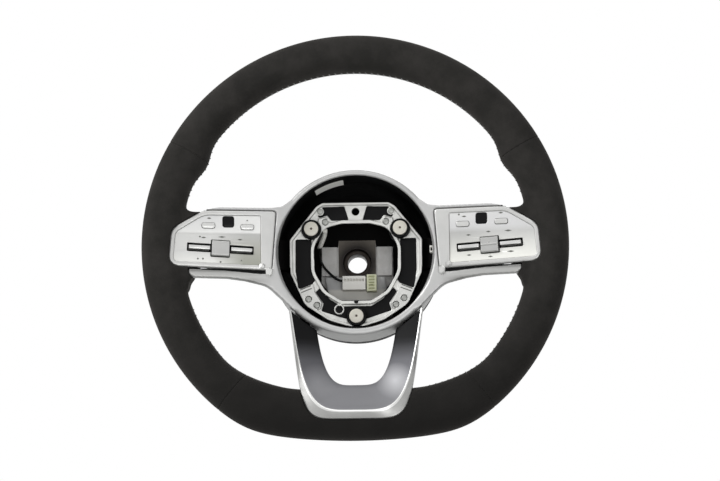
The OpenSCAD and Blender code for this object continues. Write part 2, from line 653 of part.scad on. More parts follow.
module horn_lead() color("#dcdad4") skin_rings([for (k = [0:len(lead_route) - 1]) lead_ring(k)], false);

module blank_strip() color("#cfcfca") rotate([-90, 0, 0]) rotate([0, 0, -label_to])
    rotate_extrude(angle = label_to - label_from, $fn = 96)
    translate([liner_r - 0.35, -bezel_front + 5]) square([0.3, 9]);
clip_at = [liner_r - 1.8, -bezel_front + 7, 2.6];
module bezel_clip() color("#c9c9c9") difference() {
    boxed(clip_at, [3, 5, 6.2]);
    boxed(clip_at, [1.4, 6, 3.2]);
}
module cover_screws() color("#2c2c2c") cover_screw_places() {
    pin(1.8 * cover_shank_r, -cover_rear, -cover_rear + 2);
    pin(cover_shank_r, -hub_floor - 4.5, -cover_rear + 1);
}

// Switch pods
module pod_frame(side) color("#dededc") at_pod(side) difference() {
    union() {
        slab(0, frame_t) polygon(rounded(pod_outline));
        hull() {
            slab(-frame_lip, -frame_lip + eps) polygon(rounded(inset(pod_outline, frame_lip), 3));
            slab(0, eps) polygon(rounded(pod_outline, 3));
        }
    }
    slab(-5, plate_t) polygon(rounded(inset(plate_outline, -fit_gap)));
    slab(-5, frame_t + 1) polygon(rounded(inset(plate_outline, ledge)));
    slab(plate_t - 0.2, frame_t + 1) key_outline(pad_key, key_flange + 2 * key_gap);
}
module pod_plate(side) color("#e4e4e2") at_pod(side) difference() {
    slab(0, plate_t) polygon(rounded(plate_outline));
    for (k = [outer_key, inner_key, pad_key]) slab(-1, plate_t + 1) key_outline(k, key_gap);
    at_bar() {
        slab(-1, plate_t + 1) polygon(rounded(box_corners(slot_l, slot_h, 0.8)));
        slab(-1, plate_t + 1) polygon(rounded(box_corners(block_w + 1.6, block_h + 1.6, 0.8)));
    }
}
module cradle(d) at_bar() slab(-10, 20) polygon(rounded(box_corners(slot_l + 2 * rib_t + 2 * d, slot_h + 2 * d, 0)));
module pod_board(side) color("#1e5a36") at_pod(side) {
    difference() {
        slab(board_y, board_y + board_t) polygon(rounded(inset(housing_outline, housing_wall + 0.3)));
        cradle(1);
    }
    for (k = [outer_key, inner_key, pad_key]) translate([k[0], board_y - 0.25, k[1]]) cube([4, 0.5, 3], center = true);
}
module pod_housing(side) color("#1a1a1b") at_pod(side) {
    difference() {
        slab(frame_t, housing_depth) polygon(rounded(housing_outline));
        slab(frame_t - 1, board_y + board_t) polygon(rounded(inset(housing_outline, housing_wall)));
        slab(board_y, floor_y) polygon(rounded(inset(housing_outline, 2 * housing_wall)));
    }
    at_bar() for (s = [-1, 1], x = [block_w / 2 + rib_gap, blade_x1 + rib_gap]) on_side(s) difference() {
        along_x(x, x + rib_t) translate([plate_t + 0.8, -3.4]) square([floor_y - plate_t - 0.8 + eps, 6.8]);
        translate([x - 1, axle_y, 0]) rotate([0, 90, 0]) cylinder(r = axle_r + axle_gap, h = rib_t + 2);
    }
}
module key(k, out) {
    slab(-out, plate_t + 0.2) key_outline(k, 0);
    slab(plate_t + 0.2, plate_t + 0.2 + key_flange) key_outline(k, key_flange);
    slab(plate_t + 1, board_y - 0.5 - button_travel - 0.1) translate([k[0], k[1]]) square([3, 2], center = true);
}
module outer_button(side) color("#e8e8e6") at_pod(side) key(outer_key, 0.9);
module inner_button(side) color("#e8e8e6") at_pod(side) key(inner_key, 0.9);
module touch_pad(side) color("#121212") at_pod(side) key(pad_key, 0.3);
module axle(x0, x1) translate([x0 - axle_stub, axle_y, 0]) rotate([0, 90, 0]) cylinder(r = axle_r, h = x1 - x0 + 2 * axle_stub);
module blade(x0, x1) at_bar() {
    along_x(x0, x1) {
        translate([-blade_out, -blade_t / 2]) square([blade_out + axle_y, blade_t]);
        translate([axle_y, 0]) circle(r = 2.2);
    }
    axle(x0, x1);
}
module outer_blade(side) color("#e2e2e0") at_pod(side) blade(blade_x0, blade_x1);
module inner_blade(side) color("#e2e2e0") at_pod(side) blade(-blade_x1, -blade_x0);
module centre_rocker(side) color("#e6e6e4") at_pod(side) at_bar() {
    along_x(-block_w / 2, block_w / 2) {
        polygon([[-block_out, -block_h / 2 + 0.8], [-block_out + 0.8, -block_h / 2], [plate_t + 0.6, -block_h / 2],
            [plate_t + 0.6, -2.2], [axle_y, -2.2], [axle_y, 2.2], [plate_t + 0.6, 2.2], [plate_t + 0.6, block_h / 2],
            [-block_out + 0.8, block_h / 2], [-block_out, block_h / 2 - 0.8]]);
        translate([axle_y, 0]) circle(r = 2.2);
        if (side > 0) translate([-block_out - 0.5, -0.5]) square([1, 1]);
    }
    axle(-block_w / 2, block_w / 2);
}

armature();
hub_boss();
rim_foam();
leather_top();
leather_left();
leather_right();
leather_bottom();
hub_bezel();
lower_trim();
lower_cover();
arm_cover(-1);  // arm_cover_left
arm_cover(1);  // arm_cover_right
back_cover();
carrier_frame();
contact_plate();
plate_screws();
cover_screws();
control_module();
white_connector();
yellow_connector();
horn_lead();
blank_strip();
bezel_clip();
horn_cup(0);  // horn_cup_left
horn_cup(1);  // horn_cup_right
horn_cup(2);  // horn_cup_bottom
horn_cap(0);  // horn_cap_left
horn_cap(1);  // horn_cap_right
horn_cap(2);  // horn_cap_bottom
horn_spring(0);  // horn_spring_left
horn_spring(1);  // horn_spring_right
horn_spring(2);  // horn_spring_bottom
pod_frame(-1);  // pod_frame_left
pod_frame(1);  // pod_frame_right
pod_plate(-1);  // pod_plate_left
pod_plate(1);  // pod_plate_right
pod_board(-1);  // pod_board_left
pod_board(1);  // pod_board_right
pod_housing(-1);  // pod_housing_left
pod_housing(1);  // pod_housing_right
outer_button(-1);  // outer_button_left
outer_button(1);  // outer_button_right
inner_button(-1);  // inner_button_left
inner_button(1);  // inner_button_right
touch_pad(-1);  // touch_pad_left
touch_pad(1);  // touch_pad_right
outer_blade(-1);  // outer_blade_left
outer_blade(1);  // outer_blade_right
inner_blade(-1);  // inner_blade_left
inner_blade(1);  // inner_blade_right
centre_rocker(-1);  // centre_rocker_left
centre_rocker(1);  // centre_rocker_right
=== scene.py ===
"""Dresses the solids of a car steering wheel in suede, sewing thread, satin silver and moulded plastic."""

import json
import math

import bpy
from mathutils import Matrix, Vector


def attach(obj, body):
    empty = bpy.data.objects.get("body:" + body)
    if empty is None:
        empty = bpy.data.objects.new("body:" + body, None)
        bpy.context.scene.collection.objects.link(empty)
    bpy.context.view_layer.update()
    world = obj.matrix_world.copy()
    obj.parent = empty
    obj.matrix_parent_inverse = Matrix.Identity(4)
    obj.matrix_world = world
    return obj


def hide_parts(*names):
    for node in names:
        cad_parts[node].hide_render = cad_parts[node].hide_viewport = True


bl_info = {
    "name": "Steering Wheel Dressing",
    "version": (1, 0, 0),
    "blender": (4, 5, 0),
    "location": "View3D > Sidebar > Steering Wheel",
    "description": "Suede, thread, satin silver and moulded plastic for a car steering wheel",
    "category": "Object",
}

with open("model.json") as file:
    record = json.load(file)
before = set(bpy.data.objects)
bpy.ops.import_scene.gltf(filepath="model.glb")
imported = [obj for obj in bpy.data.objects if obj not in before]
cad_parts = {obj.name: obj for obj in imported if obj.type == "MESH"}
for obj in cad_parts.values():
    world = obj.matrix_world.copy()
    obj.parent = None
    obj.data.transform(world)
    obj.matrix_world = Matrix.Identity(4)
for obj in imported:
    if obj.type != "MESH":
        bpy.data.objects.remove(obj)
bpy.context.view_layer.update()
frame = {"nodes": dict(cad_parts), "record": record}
MM = 0.001
SIDES = {"left": -1, "right": 1}


# Settings that a user would change

class RimSettings(bpy.types.PropertyGroup):
    """Sizes of the rim, its leather panels and its seams"""
    radius: bpy.props.FloatProperty(
        name="Radius", description="Outer radius of the round part",
        default=185 * MM, unit="LENGTH")
    rise: bpy.props.FloatProperty(
        name="Rise", description="Height of the round part's centre above the bore",
        default=5 * MM, unit="LENGTH")
    flat: bpy.props.FloatProperty(
        name="Flat drop", description="Drop from the centre to the flat bottom",
        default=170 * MM, unit="LENGTH")
    bow: bpy.props.FloatProperty(
        name="Bow", description="Radius of the slight bow of the flat bottom",
        default=640 * MM, unit="LENGTH")
    dish: bpy.props.FloatProperty(
        name="Dish", description="Distance of the rim ahead of the bore's origin",
        default=90 * MM, unit="LENGTH")
    width_top: bpy.props.FloatProperty(
        name="Width at top", description="Width of the grip at the top",
        default=33 * MM, unit="LENGTH")
    width_side: bpy.props.FloatProperty(
        name="Width at side", description="Width of the grip at the spokes",
        default=35 * MM, unit="LENGTH")
    width_low: bpy.props.FloatProperty(
        name="Width below", description="Width of the grip at the lower corners",
        default=43.5 * MM, unit="LENGTH")
    depth: bpy.props.FloatProperty(
        name="Depth", description="Depth of the grip, front to rear",
        default=34 * MM, unit="LENGTH")
    thumb: bpy.props.FloatProperty(
        name="Thumb rest", description="Extra width of the thumb rests",
        default=5.2 * MM, unit="LENGTH")
    seam_depth: bpy.props.FloatProperty(
        name="Seam depth", description="How far a panel turns in at its seam",
        default=0.7 * MM, unit="LENGTH")
    stitch_pitch: bpy.props.FloatProperty(
        name="Stitch pitch", description="Distance between stitches",
        default=5.3 * MM, unit="LENGTH")
    thread: bpy.props.FloatProperty(
        name="Thread", description="Thickness of the sewing thread",
        default=0.8 * MM, unit="LENGTH")


class FinishSettings(bpy.types.PropertyGroup):
    """Forms of the switch pods"""
    key_edge: bpy.props.FloatProperty(
        name="Key edge", description="Edge rounding of buttons, blades and pads",
        default=0.35 * MM, unit="LENGTH")
    plate_hollow: bpy.props.FloatProperty(
        name="Plate hollow", description="Depth of the hollow below a switch plate's crease",
        default=1.2 * MM, unit="LENGTH")


class StageSettings(bpy.types.PropertyGroup):
    """Camera and light"""
    azimuth: bpy.props.FloatProperty(
        name="Azimuth", description="Camera's turn to the driver's right",
        default=math.radians(1.5), subtype="ANGLE")
    elevation: bpy.props.FloatProperty(
        name="Elevation", description="Camera's height angle",
        default=math.radians(-9.5), subtype="ANGLE")
    roll: bpy.props.FloatProperty(
        name="Roll", description="Turn of the picture",
        default=math.radians(0.6), subtype="ANGLE")
    distance: bpy.props.FloatProperty(
        name="Distance", description="Distance from the camera to the hub's ring",
        default=3.0, unit="LENGTH")
    lens_px: bpy.props.FloatProperty(
        name="Lens", description="Focal length in pixels of a 720 wide picture",
        default=3463)
    sky: bpy.props.FloatProperty(
        name="Sky", description="Strength of the even light from all round",
        default=0.3)
    key_light: bpy.props.FloatProperty(
        name="Key light", description="Power of the large soft box at the upper left",
        default=46, unit="POWER")


def settings(name):
    return getattr(bpy.context.scene, name)


# Small tools for modelling by operators

def only(*objects):
    """Selects just these objects, the first one active, in object mode."""
    if bpy.context.object and bpy.context.object.mode != "OBJECT":
        bpy.ops.object.mode_set(mode="OBJECT")
    bpy.ops.object.select_all(action="DESELECT")
    for item in objects:
        item.select_set(True)
    bpy.context.view_layer.objects.active = objects[0]


def edit(piece, mode="FACE"):
    only(piece)
    bpy.ops.object.mode_set(mode="EDIT")
    bpy.ops.mesh.select_mode(type=mode)
    bpy.ops.mesh.select_all(action="SELECT")


def done():
    bpy.ops.object.mode_set(mode="OBJECT")
    return bpy.context.object


def named(name):
    piece = bpy.context.object
    piece.name = name
    piece.data.name = name
    return piece


def apply_modifier(piece, kind, **values):
    only(piece)
    modifier = piece.modifiers.new(kind.lower(), kind)
    for key, value in values.items():
        setattr(modifier, key, value)
    bpy.ops.object.modifier_apply(modifier=modifier.name)


def settle(piece):
    """Puts a piece's place, turn and size into its mesh."""
    only(piece)
    bpy.ops.object.transform_apply(location=True, rotation=True, scale=True)
    return piece


def smooth(piece, degrees=32):
    only(piece)
    bpy.ops.object.shade_smooth_by_angle(angle=math.radians(degrees))


def recalculate(piece):
    edit(piece)
    bpy.ops.mesh.remove_doubles(threshold=0.005 * MM)
    bpy.ops.mesh.normals_make_consistent(inside=False)
    return done()


def copy_of(node, name):
    """A piece with the mesh of a CAD node, its loose triangles merged."""
    data = frame["nodes"][node].data.copy()
    piece = bpy.data.objects.new(name, data)
    bpy.context.scene.collection.objects.link(piece)
    data.name = name
    edit(piece)
    bpy.ops.mesh.remove_doubles(threshold=0.002 * MM)
    done()
    return piece


def twin(piece, name):
    other = bpy.data.objects.new(name, piece.data.copy())
    bpy.context.scene.collection.objects.link(other)
    return other


def body_of_node(node):
    return next(b for b, nodes in frame["record"]["behaviour"]["bodies"].items() if node in nodes)


def dress(piece, material, body="root"):
    """Gives a piece its material and the body that it moves with."""
    piece.data.materials.clear()
    piece.data.materials.append(MATERIALS[material])
    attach(piece, body)


def stand_for(piece, material, *nodes):
    """Lets a piece stand for CAD nodes, with the body of the first one."""
    dress(piece, material, body_of_node(nodes[0]))
    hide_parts(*nodes)


def join_flat_faces(piece):
    """Turns the triangles of each flat face into one face."""
    edit(piece)
    bpy.ops.mesh.dissolve_limited(angle_limit=math.radians(0.5))
    return done()


def softened(node, material, edge, segments, limit):
    """A CAD node's form with its edges rounded, which then stands for the node."""
    piece = join_flat_faces(copy_of(node, node + "_piece"))
    apply_modifier(piece, "BEVEL", width=edge, segments=segments, limit_method="ANGLE",
                   angle_limit=math.radians(limit), use_clamp_overlap=True, miter_outer="MITER_ARC")
    apply_modifier(piece, "TRIANGULATE")
    smooth(piece, 35)
    stand_for(piece, material, node)


def melted(piece, node, material, voxel, passes):
    """A form rebuilt from small cells and smoothed, so that its edges run round as on a painted piece."""
    apply_modifier(piece, "REMESH", mode="VOXEL", voxel_size=voxel * MM)
    apply_modifier(piece, "SMOOTH", factor=0.5, iterations=passes)
    smooth(piece, 60)
    stand_for(piece, material, node)


def cut(piece, cutter, keep=False):
    apply_modifier(piece, "BOOLEAN", object=cutter, operation="DIFFERENCE", solver="EXACT")
    if not keep:
        bpy.data.objects.remove(cutter)
    return piece


# Colours and materials

def linear(code):
    """An sRGB hex colour as linear red, green, blue and alpha."""
    values = [int(code[i:i + 2], 16) / 255 for i in (1, 3, 5)]
    return [v / 12.92 if v <= 0.04045 else ((v + 0.055) / 1.055) ** 2.4 for v in values] + [1]


def per_mm(size):
    """A texture scale that makes a noise's or a cell's features this many millimetres wide.

    A wave texture repeats about three times in that width.
    """
    return 1 / (size * MM)


# For each kind of node, its inputs in the order in which a call gives them, and the output that comes back
SOCKETS = {
    "TexCoord": ((), "Object"),
    "Mapping": (("Vector", "Scale"), "Vector"),
    "SeparateXYZ": (("Vector",), None),
    "CombineXYZ": (("X", "Z"), "Vector"),
    "Math": ((0, 1), 0),
    "VectorMath": ((0, 1), "Value"),
    "MapRange": (("Value", "From Min", "From Max", "To Min", "To Max"), "Result"),
    "Mix": (("Factor", 6, 7), 2),
    "ValToRGB": (("Fac",), "Color"),
    "TexNoise": (("Vector", "Scale", "Detail", "Roughness"), "Fac"),
    "TexVoronoi": (("Vector", "Scale"), "Distance"),
    "TexWave": (("Vector", "Scale", "Distortion", "Detail"), "Fac"),
    "Bump": (("Height", "Distance", "Strength"), "Normal"),
    "LightPath": ((), None),
    "Background": (("Color", "Strength"), 0),
    "MixShader": ((0, 1, 2), 0),
    "OutputWorld": (("Surface",), None),
}


def add_node(tree, kind, *inputs, **values):
    """Adds a node with its settings, links or sets its inputs, and gives back its output, or all of them."""
    node = tree.nodes.new("ShaderNode" + kind)
    for key, value in values.items():
        setattr(node, key, value)
    names, output = SOCKETS[kind]
    for name, value in zip(names, inputs):
        if isinstance(value, bpy.types.NodeSocket):
            tree.links.new(value, node.inputs[name])
        else:
            node.inputs[name].default_value = linear(value) if isinstance(value, str) else value
    return node.outputs if output is None else node.outputs[output]


def new_material(name, **sockets):
    """An empty material with its shader, and the Object coordinates of the piece."""
    material = bpy.data.materials.new(name)
    material.use_nodes = True
    tree = material.node_tree
    shader = tree.nodes["Principled BSDF"]
    for socket, value in sockets.items():
        value = linear(value) if isinstance(value, str) else value
        shader.inputs[socket.replace("_", " ")].default_value = value
    return material, tree, shader, add_node(tree, "TexCoord")


def feed(shader, **outputs):
    """Links outputs of nodes to the shader's sockets of these names."""
    for socket, output in outputs.items():
        shader.id_data.links.new(output, shader.inputs[socket.replace("_", " ")])


def clouded(tree, cloud, low, first, second):
    """One colour that drifts into another with a noise; low is the noise's value where the drift begins."""
    share = add_node(tree, "MapRange", cloud, low, 1 - low, 0, 1)
    return add_node(tree, "Mix", share, first, second, data_type="RGBA")


def height_ramp(tree, place, low, high, stops):
    """Colours by height: each stop is a share of the way from low to high, in millimetres, and its colour."""
    height = add_node(tree, "SeparateXYZ", place)["Z"]
    share = add_node(tree, "MapRange", height, low * MM, high * MM, 0, 1)
    fade = add_node(tree, "ValToRGB", share)
    ramp = fade.node.color_ramp
    ramp.elements[0].color = linear(stops[0][1])
    ramp.elements[1].color = linear(stops[-1][1])
    for at, colour in stops[1:-1]:
        ramp.elements.new(at).color = linear(colour)
    return fade


def lacquered(tree, shader, place, colour, smoothest, dullest):
    """Satin silver paint over a colour: fine metal flakes under a thin dull lacquer."""
    flake = add_node(tree, "TexNoise", place, per_mm(0.35), 1, 0.8)
    feed(shader, Base_Color=colour, Roughness=add_node(tree, "MapRange", flake, 0.3, 0.7, smoothest, dullest),
         Normal=add_node(tree, "Bump", flake, 0.02 * MM, 0.25))


def napped_suede(name, light, dark, low):
    """Suede, leather with a sanded nap: matt, mottled where the nap lies another way, with painted shade that
    darkens it towards the bottom.
    """
    material, tree, shader, place = new_material(
        name, Roughness=0.95, Specular_IOR_Level=0.15, Sheen_Weight=0.25, Sheen_Roughness=0.5,
        Sheen_Tint="#8a8580")
    strokes = add_node(tree, "TexNoise", place, per_mm(22), 4, 0.6)
    nap = add_node(tree, "TexNoise", place, per_mm(0.9), 2, 0.7)
    lie = add_node(tree, "MapRange", strokes, 0.35, 0.68, 0, 1)
    fine = add_node(tree, "MapRange", nap, 0.3, 0.7, -0.16, 0.16)
    total = add_node(tree, "Math", lie, fine, operation="ADD", use_clamp=True)
    mottled = add_node(tree, "Mix", total, dark, light, data_type="RGBA")
    # Painted shade: the suede darkens towards the bottom of the wheel
    height = add_node(tree, "SeparateXYZ", place)["Z"]
    below = add_node(tree, "MapRange", height, -20 * MM, -150 * MM, 0, 0.8)
    feed(shader, Base_Color=add_node(tree, "Mix", below, mottled, low, data_type="RGBA"),
         Normal=add_node(tree, "Bump", nap, 0.12 * MM, 0.5))
    return material


# Painted shade and highlight by height on each switch plate, for the light on its crease and hollow: away
# from the hub, and near it
PLATE_PAINTED_SHADE = {
    "left": (((0, "#efefeb"), (0.12, "#ecece8"), (0.3, "#d6d6d4"), (0.62, "#bcbcba"), (0.66, "#e0e0de"),
              (1, "#d2d2d2")),
             ((0, "#a6a79d"), (0.12, "#a6a79d"), (0.3, "#aeaea6"), (0.62, "#a9a9a7"), (0.66, "#e0e0de"),
              (1, "#e2e2e0"))),
    "right": (((0, "#f6f5f0"), (0.15, "#f0f0ea"), (0.4, "#dededa"), (0.6, "#cbcbc9"), (0.7, "#d6d6d6"),
               (1, "#d9d9d9")),
              ((0, "#ecece6"), (0.15, "#e4e4de"), (0.4, "#cfcfcb"), (0.6, "#bdbdbb"), (0.7, "#d4d4d4"),
               (1, "#dededd"))),
}
PLATE_HEIGHTS = (-14, 34)
# Painted shade by height on the bezel's arms, darkest in a band just under the pods
ARM_PAINTED_SHADE = ((0, "#8f8f8d"), (0.2, "#b4b4b2"), (0.42, "#acacaa"), (0.54, "#7e7e7c"), (0.72, "#b2b2b2"),
             (1, "#bebebe"))
ARM_HEIGHTS = (-25, -9)
# Painted dark reflection on the lower spoke's inner face by height, and the corner where its painted
# highlight sits
PAINTED_DARK_REFLECTION = ((0, "#8f8f92"), (0.2, "#8d8d90"), (0.3, "#808084"), (0.42, "#717175"), (0.54, "#646468"),
           (0.62, "#4e4e51"), (0.74, "#252527"), (0.8, "#131314"), (1, "#0a0a0b"))
PAINTED_DARK_REFLECTION_HEIGHTS = (-136, -60)
PAINTED_HIGHLIGHT_CORNER = (33 * MM, 0, -114 * MM)


def plate_paint(name, side):
    """A switch plate's satin paint, with painted shade and highlight by height, and more painted shade
    towards the hub.
    """
    material, tree, shader, place = new_material("satin_silver_plate_" + name, Metallic=0.6)
    outer, inner = [height_ramp(tree, place, *PLATE_HEIGHTS, tones) for tones in PLATE_PAINTED_SHADE[name]]
    away = add_node(tree, "SeparateXYZ", place)["X"]
    near = add_node(tree, "MapRange", away, 122 * MM * side, 96 * MM * side, 0, 1)
    colour = add_node(tree, "Mix", near, outer, inner, data_type="RGBA")
    lacquered(tree, shader, place, colour, 0.34, 0.4)
    return material


def bezel_paint(name):
    """The bezel's satin paint, with painted shade by height on the two arms below the pods, darkest just
    under the pods.
    """
    material, tree, shader, place = new_material(name, Metallic=0.6)
    across = add_node(tree, "Math", add_node(tree, "SeparateXYZ", place)["X"], operation="ABSOLUTE")
    arms = add_node(tree, "MapRange", across, 72 * MM, 90 * MM, 0, 1)
    arm_painted_shade = height_ramp(tree, place, *ARM_HEIGHTS, ARM_PAINTED_SHADE)
    colour = add_node(tree, "Mix", arms, "#bdbdbc", arm_painted_shade, data_type="RGBA")
    lacquered(tree, shader, place, colour, 0.38, 0.46)
    return material


def shaded_satin(name):
    """The lower spoke's inner face: a painted dark reflection that deepens towards the hub, and a painted
    highlight at its corners.
    """
    material, tree, shader, place = new_material(name, Metallic=0.35, Specular_IOR_Level=0.15)
    reflection_tone = height_ramp(tree, place, *PAINTED_DARK_REFLECTION_HEIGHTS, PAINTED_DARK_REFLECTION)
    axes = add_node(tree, "SeparateXYZ", place)
    across = add_node(tree, "Math", axes["X"], operation="ABSOLUTE")
    flat_place = add_node(tree, "CombineXYZ", across, axes["Z"])
    from_corner = add_node(tree, "VectorMath", flat_place, PAINTED_HIGHLIGHT_CORNER, operation="DISTANCE")
    near = add_node(tree, "MapRange", from_corner, 0, 17 * MM, 1, 0)
    # The painted highlight is stronger on the right
    strength = add_node(tree, "MapRange", axes["X"], -20 * MM, 20 * MM, 0.25, 0.7)
    corner_highlight = add_node(tree, "Math", near, strength, operation="MULTIPLY")
    colour = add_node(tree, "Mix", corner_highlight, reflection_tone, "#d2d2d4", data_type="RGBA")
    lacquered(tree, shader, place, colour, 0.46, 0.54)
    return material


def satin_paint(name, colour, worn, roughness, metallic):
    """Satin silver paint on moulded plastic, clouded by wear: fine flakes under a thin dull lacquer."""
    material, tree, shader, place = new_material(name, Metallic=metallic)
    cloud = add_node(tree, "TexNoise", place, per_mm(18), 2)
    flake = add_node(tree, "TexNoise", place, per_mm(0.35), 1, 0.8)
    feed(shader, Base_Color=clouded(tree, cloud, 0.35, colour, worn),
         Roughness=add_node(tree, "MapRange", cloud, 0.3, 0.7, roughness - 0.03, roughness + 0.04),
         Normal=add_node(tree, "Bump", flake, 0.02 * MM, 0.25))
    return material


def moulded(name, colour, second, grain=0.9, roughness=0.55, depth=0.05, shine=0.4):
    """Injection moulded plastic with a spark eroded grain and a faint cloud of handling."""
    material, tree, shader, place = new_material(name, Specular_IOR_Level=shine)
    cells = add_node(tree, "TexVoronoi", place, per_mm(grain))
    cloud = add_node(tree, "TexNoise", place, per_mm(25), 3)
    feed(shader, Base_Color=clouded(tree, cloud, 0.3, colour, second),
         Roughness=add_node(tree, "MapRange", cloud, 0.3, 0.7, roughness - 0.06, roughness + 0.06),
         Normal=add_node(tree, "Bump", cells, depth * MM, 0.6))
    return material


def plated_sheet(name, colour, second, roughness, metallic=1.0):
    """Zinc plated steel: blurred rolling lines and a slightly clouded plating."""
    material, tree, shader, place = new_material(name, Metallic=metallic)
    rolled = add_node(tree, "TexNoise", add_node(tree, "Mapping", place, (1, 1, 14)), per_mm(4), 3)
    cloud = add_node(tree, "TexNoise", place, per_mm(9), 4)
    feed(shader, Base_Color=clouded(tree, cloud, 0.3, colour, second),
         Roughness=add_node(tree, "MapRange", rolled, 0.3, 0.7, roughness - 0.08, roughness + 0.12),
         Normal=add_node(tree, "Bump", rolled, 0.02 * MM, 0.4))
    return material


def cast_metal(name, colour, second):
    """Die cast magnesium: pebbled by the mould, darker round the boss, black on its arms, and painted black
    above its floor as painted deep shade.
    """
    material, tree, shader, place = new_material(name, Metallic=0.35)
    pebbles = add_node(tree, "TexNoise", place, per_mm(1.4), 4, 0.65)
    stain = add_node(tree, "TexNoise", place, per_mm(16), 4, 0.6)
    bare = clouded(tree, stain, 0.35, colour, second)
    axes = add_node(tree, "SeparateXYZ", place)
    across = add_node(tree, "Math", axes["X"], operation="ABSOLUTE")
    flat_place = add_node(tree, "CombineXYZ", axes["X"], axes["Z"])
    from_bore = add_node(tree, "VectorMath", flat_place, operation="LENGTH")
    off_boss = add_node(tree, "MapRange", from_bore, 14 * MM, 28 * MM, 0, 1)
    darker_round_boss = add_node(tree, "Mix", off_boss, "#241e1b", "#8f887e", data_type="RGBA")
    flats = add_node(tree, "MapRange", across, 16.2 * MM, 16.8 * MM, 0, 1)
    floor = add_node(tree, "Mix", flats, darker_round_boss, bare, data_type="RGBA")
    front = add_node(tree, "MapRange", axes["Y"], -17 * MM, -19 * MM, 0, 1)
    floor_top = add_node(tree, "MapRange", flats, 0, 1, 20 * MM, 14 * MM)
    # Above the floor's top the casting is painted black as painted deep shade; more than 31.6 mm to either
    # side, on the arms, it is black
    above = add_node(tree, "Math", axes["Z"], floor_top, operation="GREATER_THAN")
    outside = add_node(tree, "Math", across, 31.6 * MM, operation="GREATER_THAN")
    beyond = add_node(tree, "Math", above, outside, operation="MAXIMUM")
    black_and_painted_shade = add_node(tree, "Math", beyond, front, operation="MULTIPLY")
    behind = add_node(tree, "Mix", front, bare, floor, data_type="RGBA")
    feed(shader, Base_Color=add_node(tree, "Mix", black_and_painted_shade, behind, "#0b0a0a", data_type="RGBA"),
         Specular_IOR_Level=add_node(tree, "MapRange", black_and_painted_shade, 0, 1, 0.5, 0.05),
         Metallic=add_node(tree, "MapRange", black_and_painted_shade, 0, 1, 0.35, 0),
         Roughness=add_node(tree, "MapRange", pebbles, 0.3, 0.7, 0.5, 0.7),
         Normal=add_node(tree, "Bump", pebbles, 0.12 * MM, 0.6))
    return material


def two_tone(name, first, second, axis, at, width, shine=0.4):
    """Moulded plastic or coated paper that changes from its first to its second colour across one axis."""
    material, tree, shader, place = new_material(name, Specular_IOR_Level=shine, Roughness=0.5)
    along = add_node(tree, "SeparateXYZ", place)[axis]
    share = add_node(tree, "MapRange", along, (at - width / 2) * MM, (at + width / 2) * MM, 0, 1)
    grain = add_node(tree, "TexNoise", place, per_mm(0.5), 2)
    feed(shader, Base_Color=add_node(tree, "Mix", share, first, second, data_type="RGBA"),
         Normal=add_node(tree, "Bump", grain, 0.02 * MM, 0.4))
    return material


def turned_steel(name, colour, second):
    """Turned steel: rings 3 mm apart, coarser than a tool's marks so that they show, under an oil film."""
    material, tree, shader, place = new_material(name, Metallic=0.8)
    rings = add_node(tree, "TexWave", place, per_mm(10), 0.4, 1, wave_type="RINGS", rings_direction="Y")
    film = add_node(tree, "TexNoise", place, per_mm(5), 3)
    feed(shader, Base_Color=add_node(tree, "Mix", film, colour, second, data_type="RGBA"),
         Roughness=add_node(tree, "MapRange", film, 0.3, 0.7, 0.3, 0.5),
         Normal=add_node(tree, "Bump", rings, 0.03 * MM, 0.5))
    return material


def gloss_black(name):
    """Polished black acrylic of the touch pads, with hairline marks of fingers."""
    material, tree, shader, place = new_material(name, IOR=1.49, Specular_IOR_Level=0.12)
    smear = add_node(tree, "TexNoise", place, per_mm(3), 4)
    feed(shader, Base_Color=add_node(tree, "Mix", smear, "#0d0d0e", "#161617", data_type="RGBA"),
         Roughness=add_node(tree, "MapRange", smear, 0.3, 0.7, 0.12, 0.28))
    return material


def twisted_thread(name):
    """Bonded polyester thread: pale grey, its twist drawn coarser than it is, as bands 4 mm apart."""
    material, tree, shader, place = new_material(name, Sheen_Weight=0.3)
    bands = add_node(tree, "TexWave", place, per_mm(12), 1.0, bands_direction="DIAGONAL")
    feed(shader, Base_Color=add_node(tree, "Mix", bands, "#a3a3a1", "#cbcbc9", data_type="RGBA"),
         Roughness=add_node(tree, "MapRange", bands, 0, 1, 0.6, 0.8),
         Normal=add_node(tree, "Bump", bands, 0.08 * MM, 0.6))
    return material


def foam(name):
    """Self skinning polyurethane foam, with a few blisters in its skin."""
    material, tree, shader, place = new_material(name, Specular_IOR_Level=0.25)
    blisters = add_node(tree, "TexNoise", place, per_mm(2.2), 4, 0.7)
    feed(shader, Base_Color=add_node(tree, "Mix", blisters, "#1d1d1e", "#2b2b2c", data_type="RGBA"),
         Roughness=add_node(tree, "MapRange", blisters, 0.3, 0.7, 0.75, 0.95),
         Normal=add_node(tree, "Bump", blisters, 0.2 * MM, 0.5))
    return material


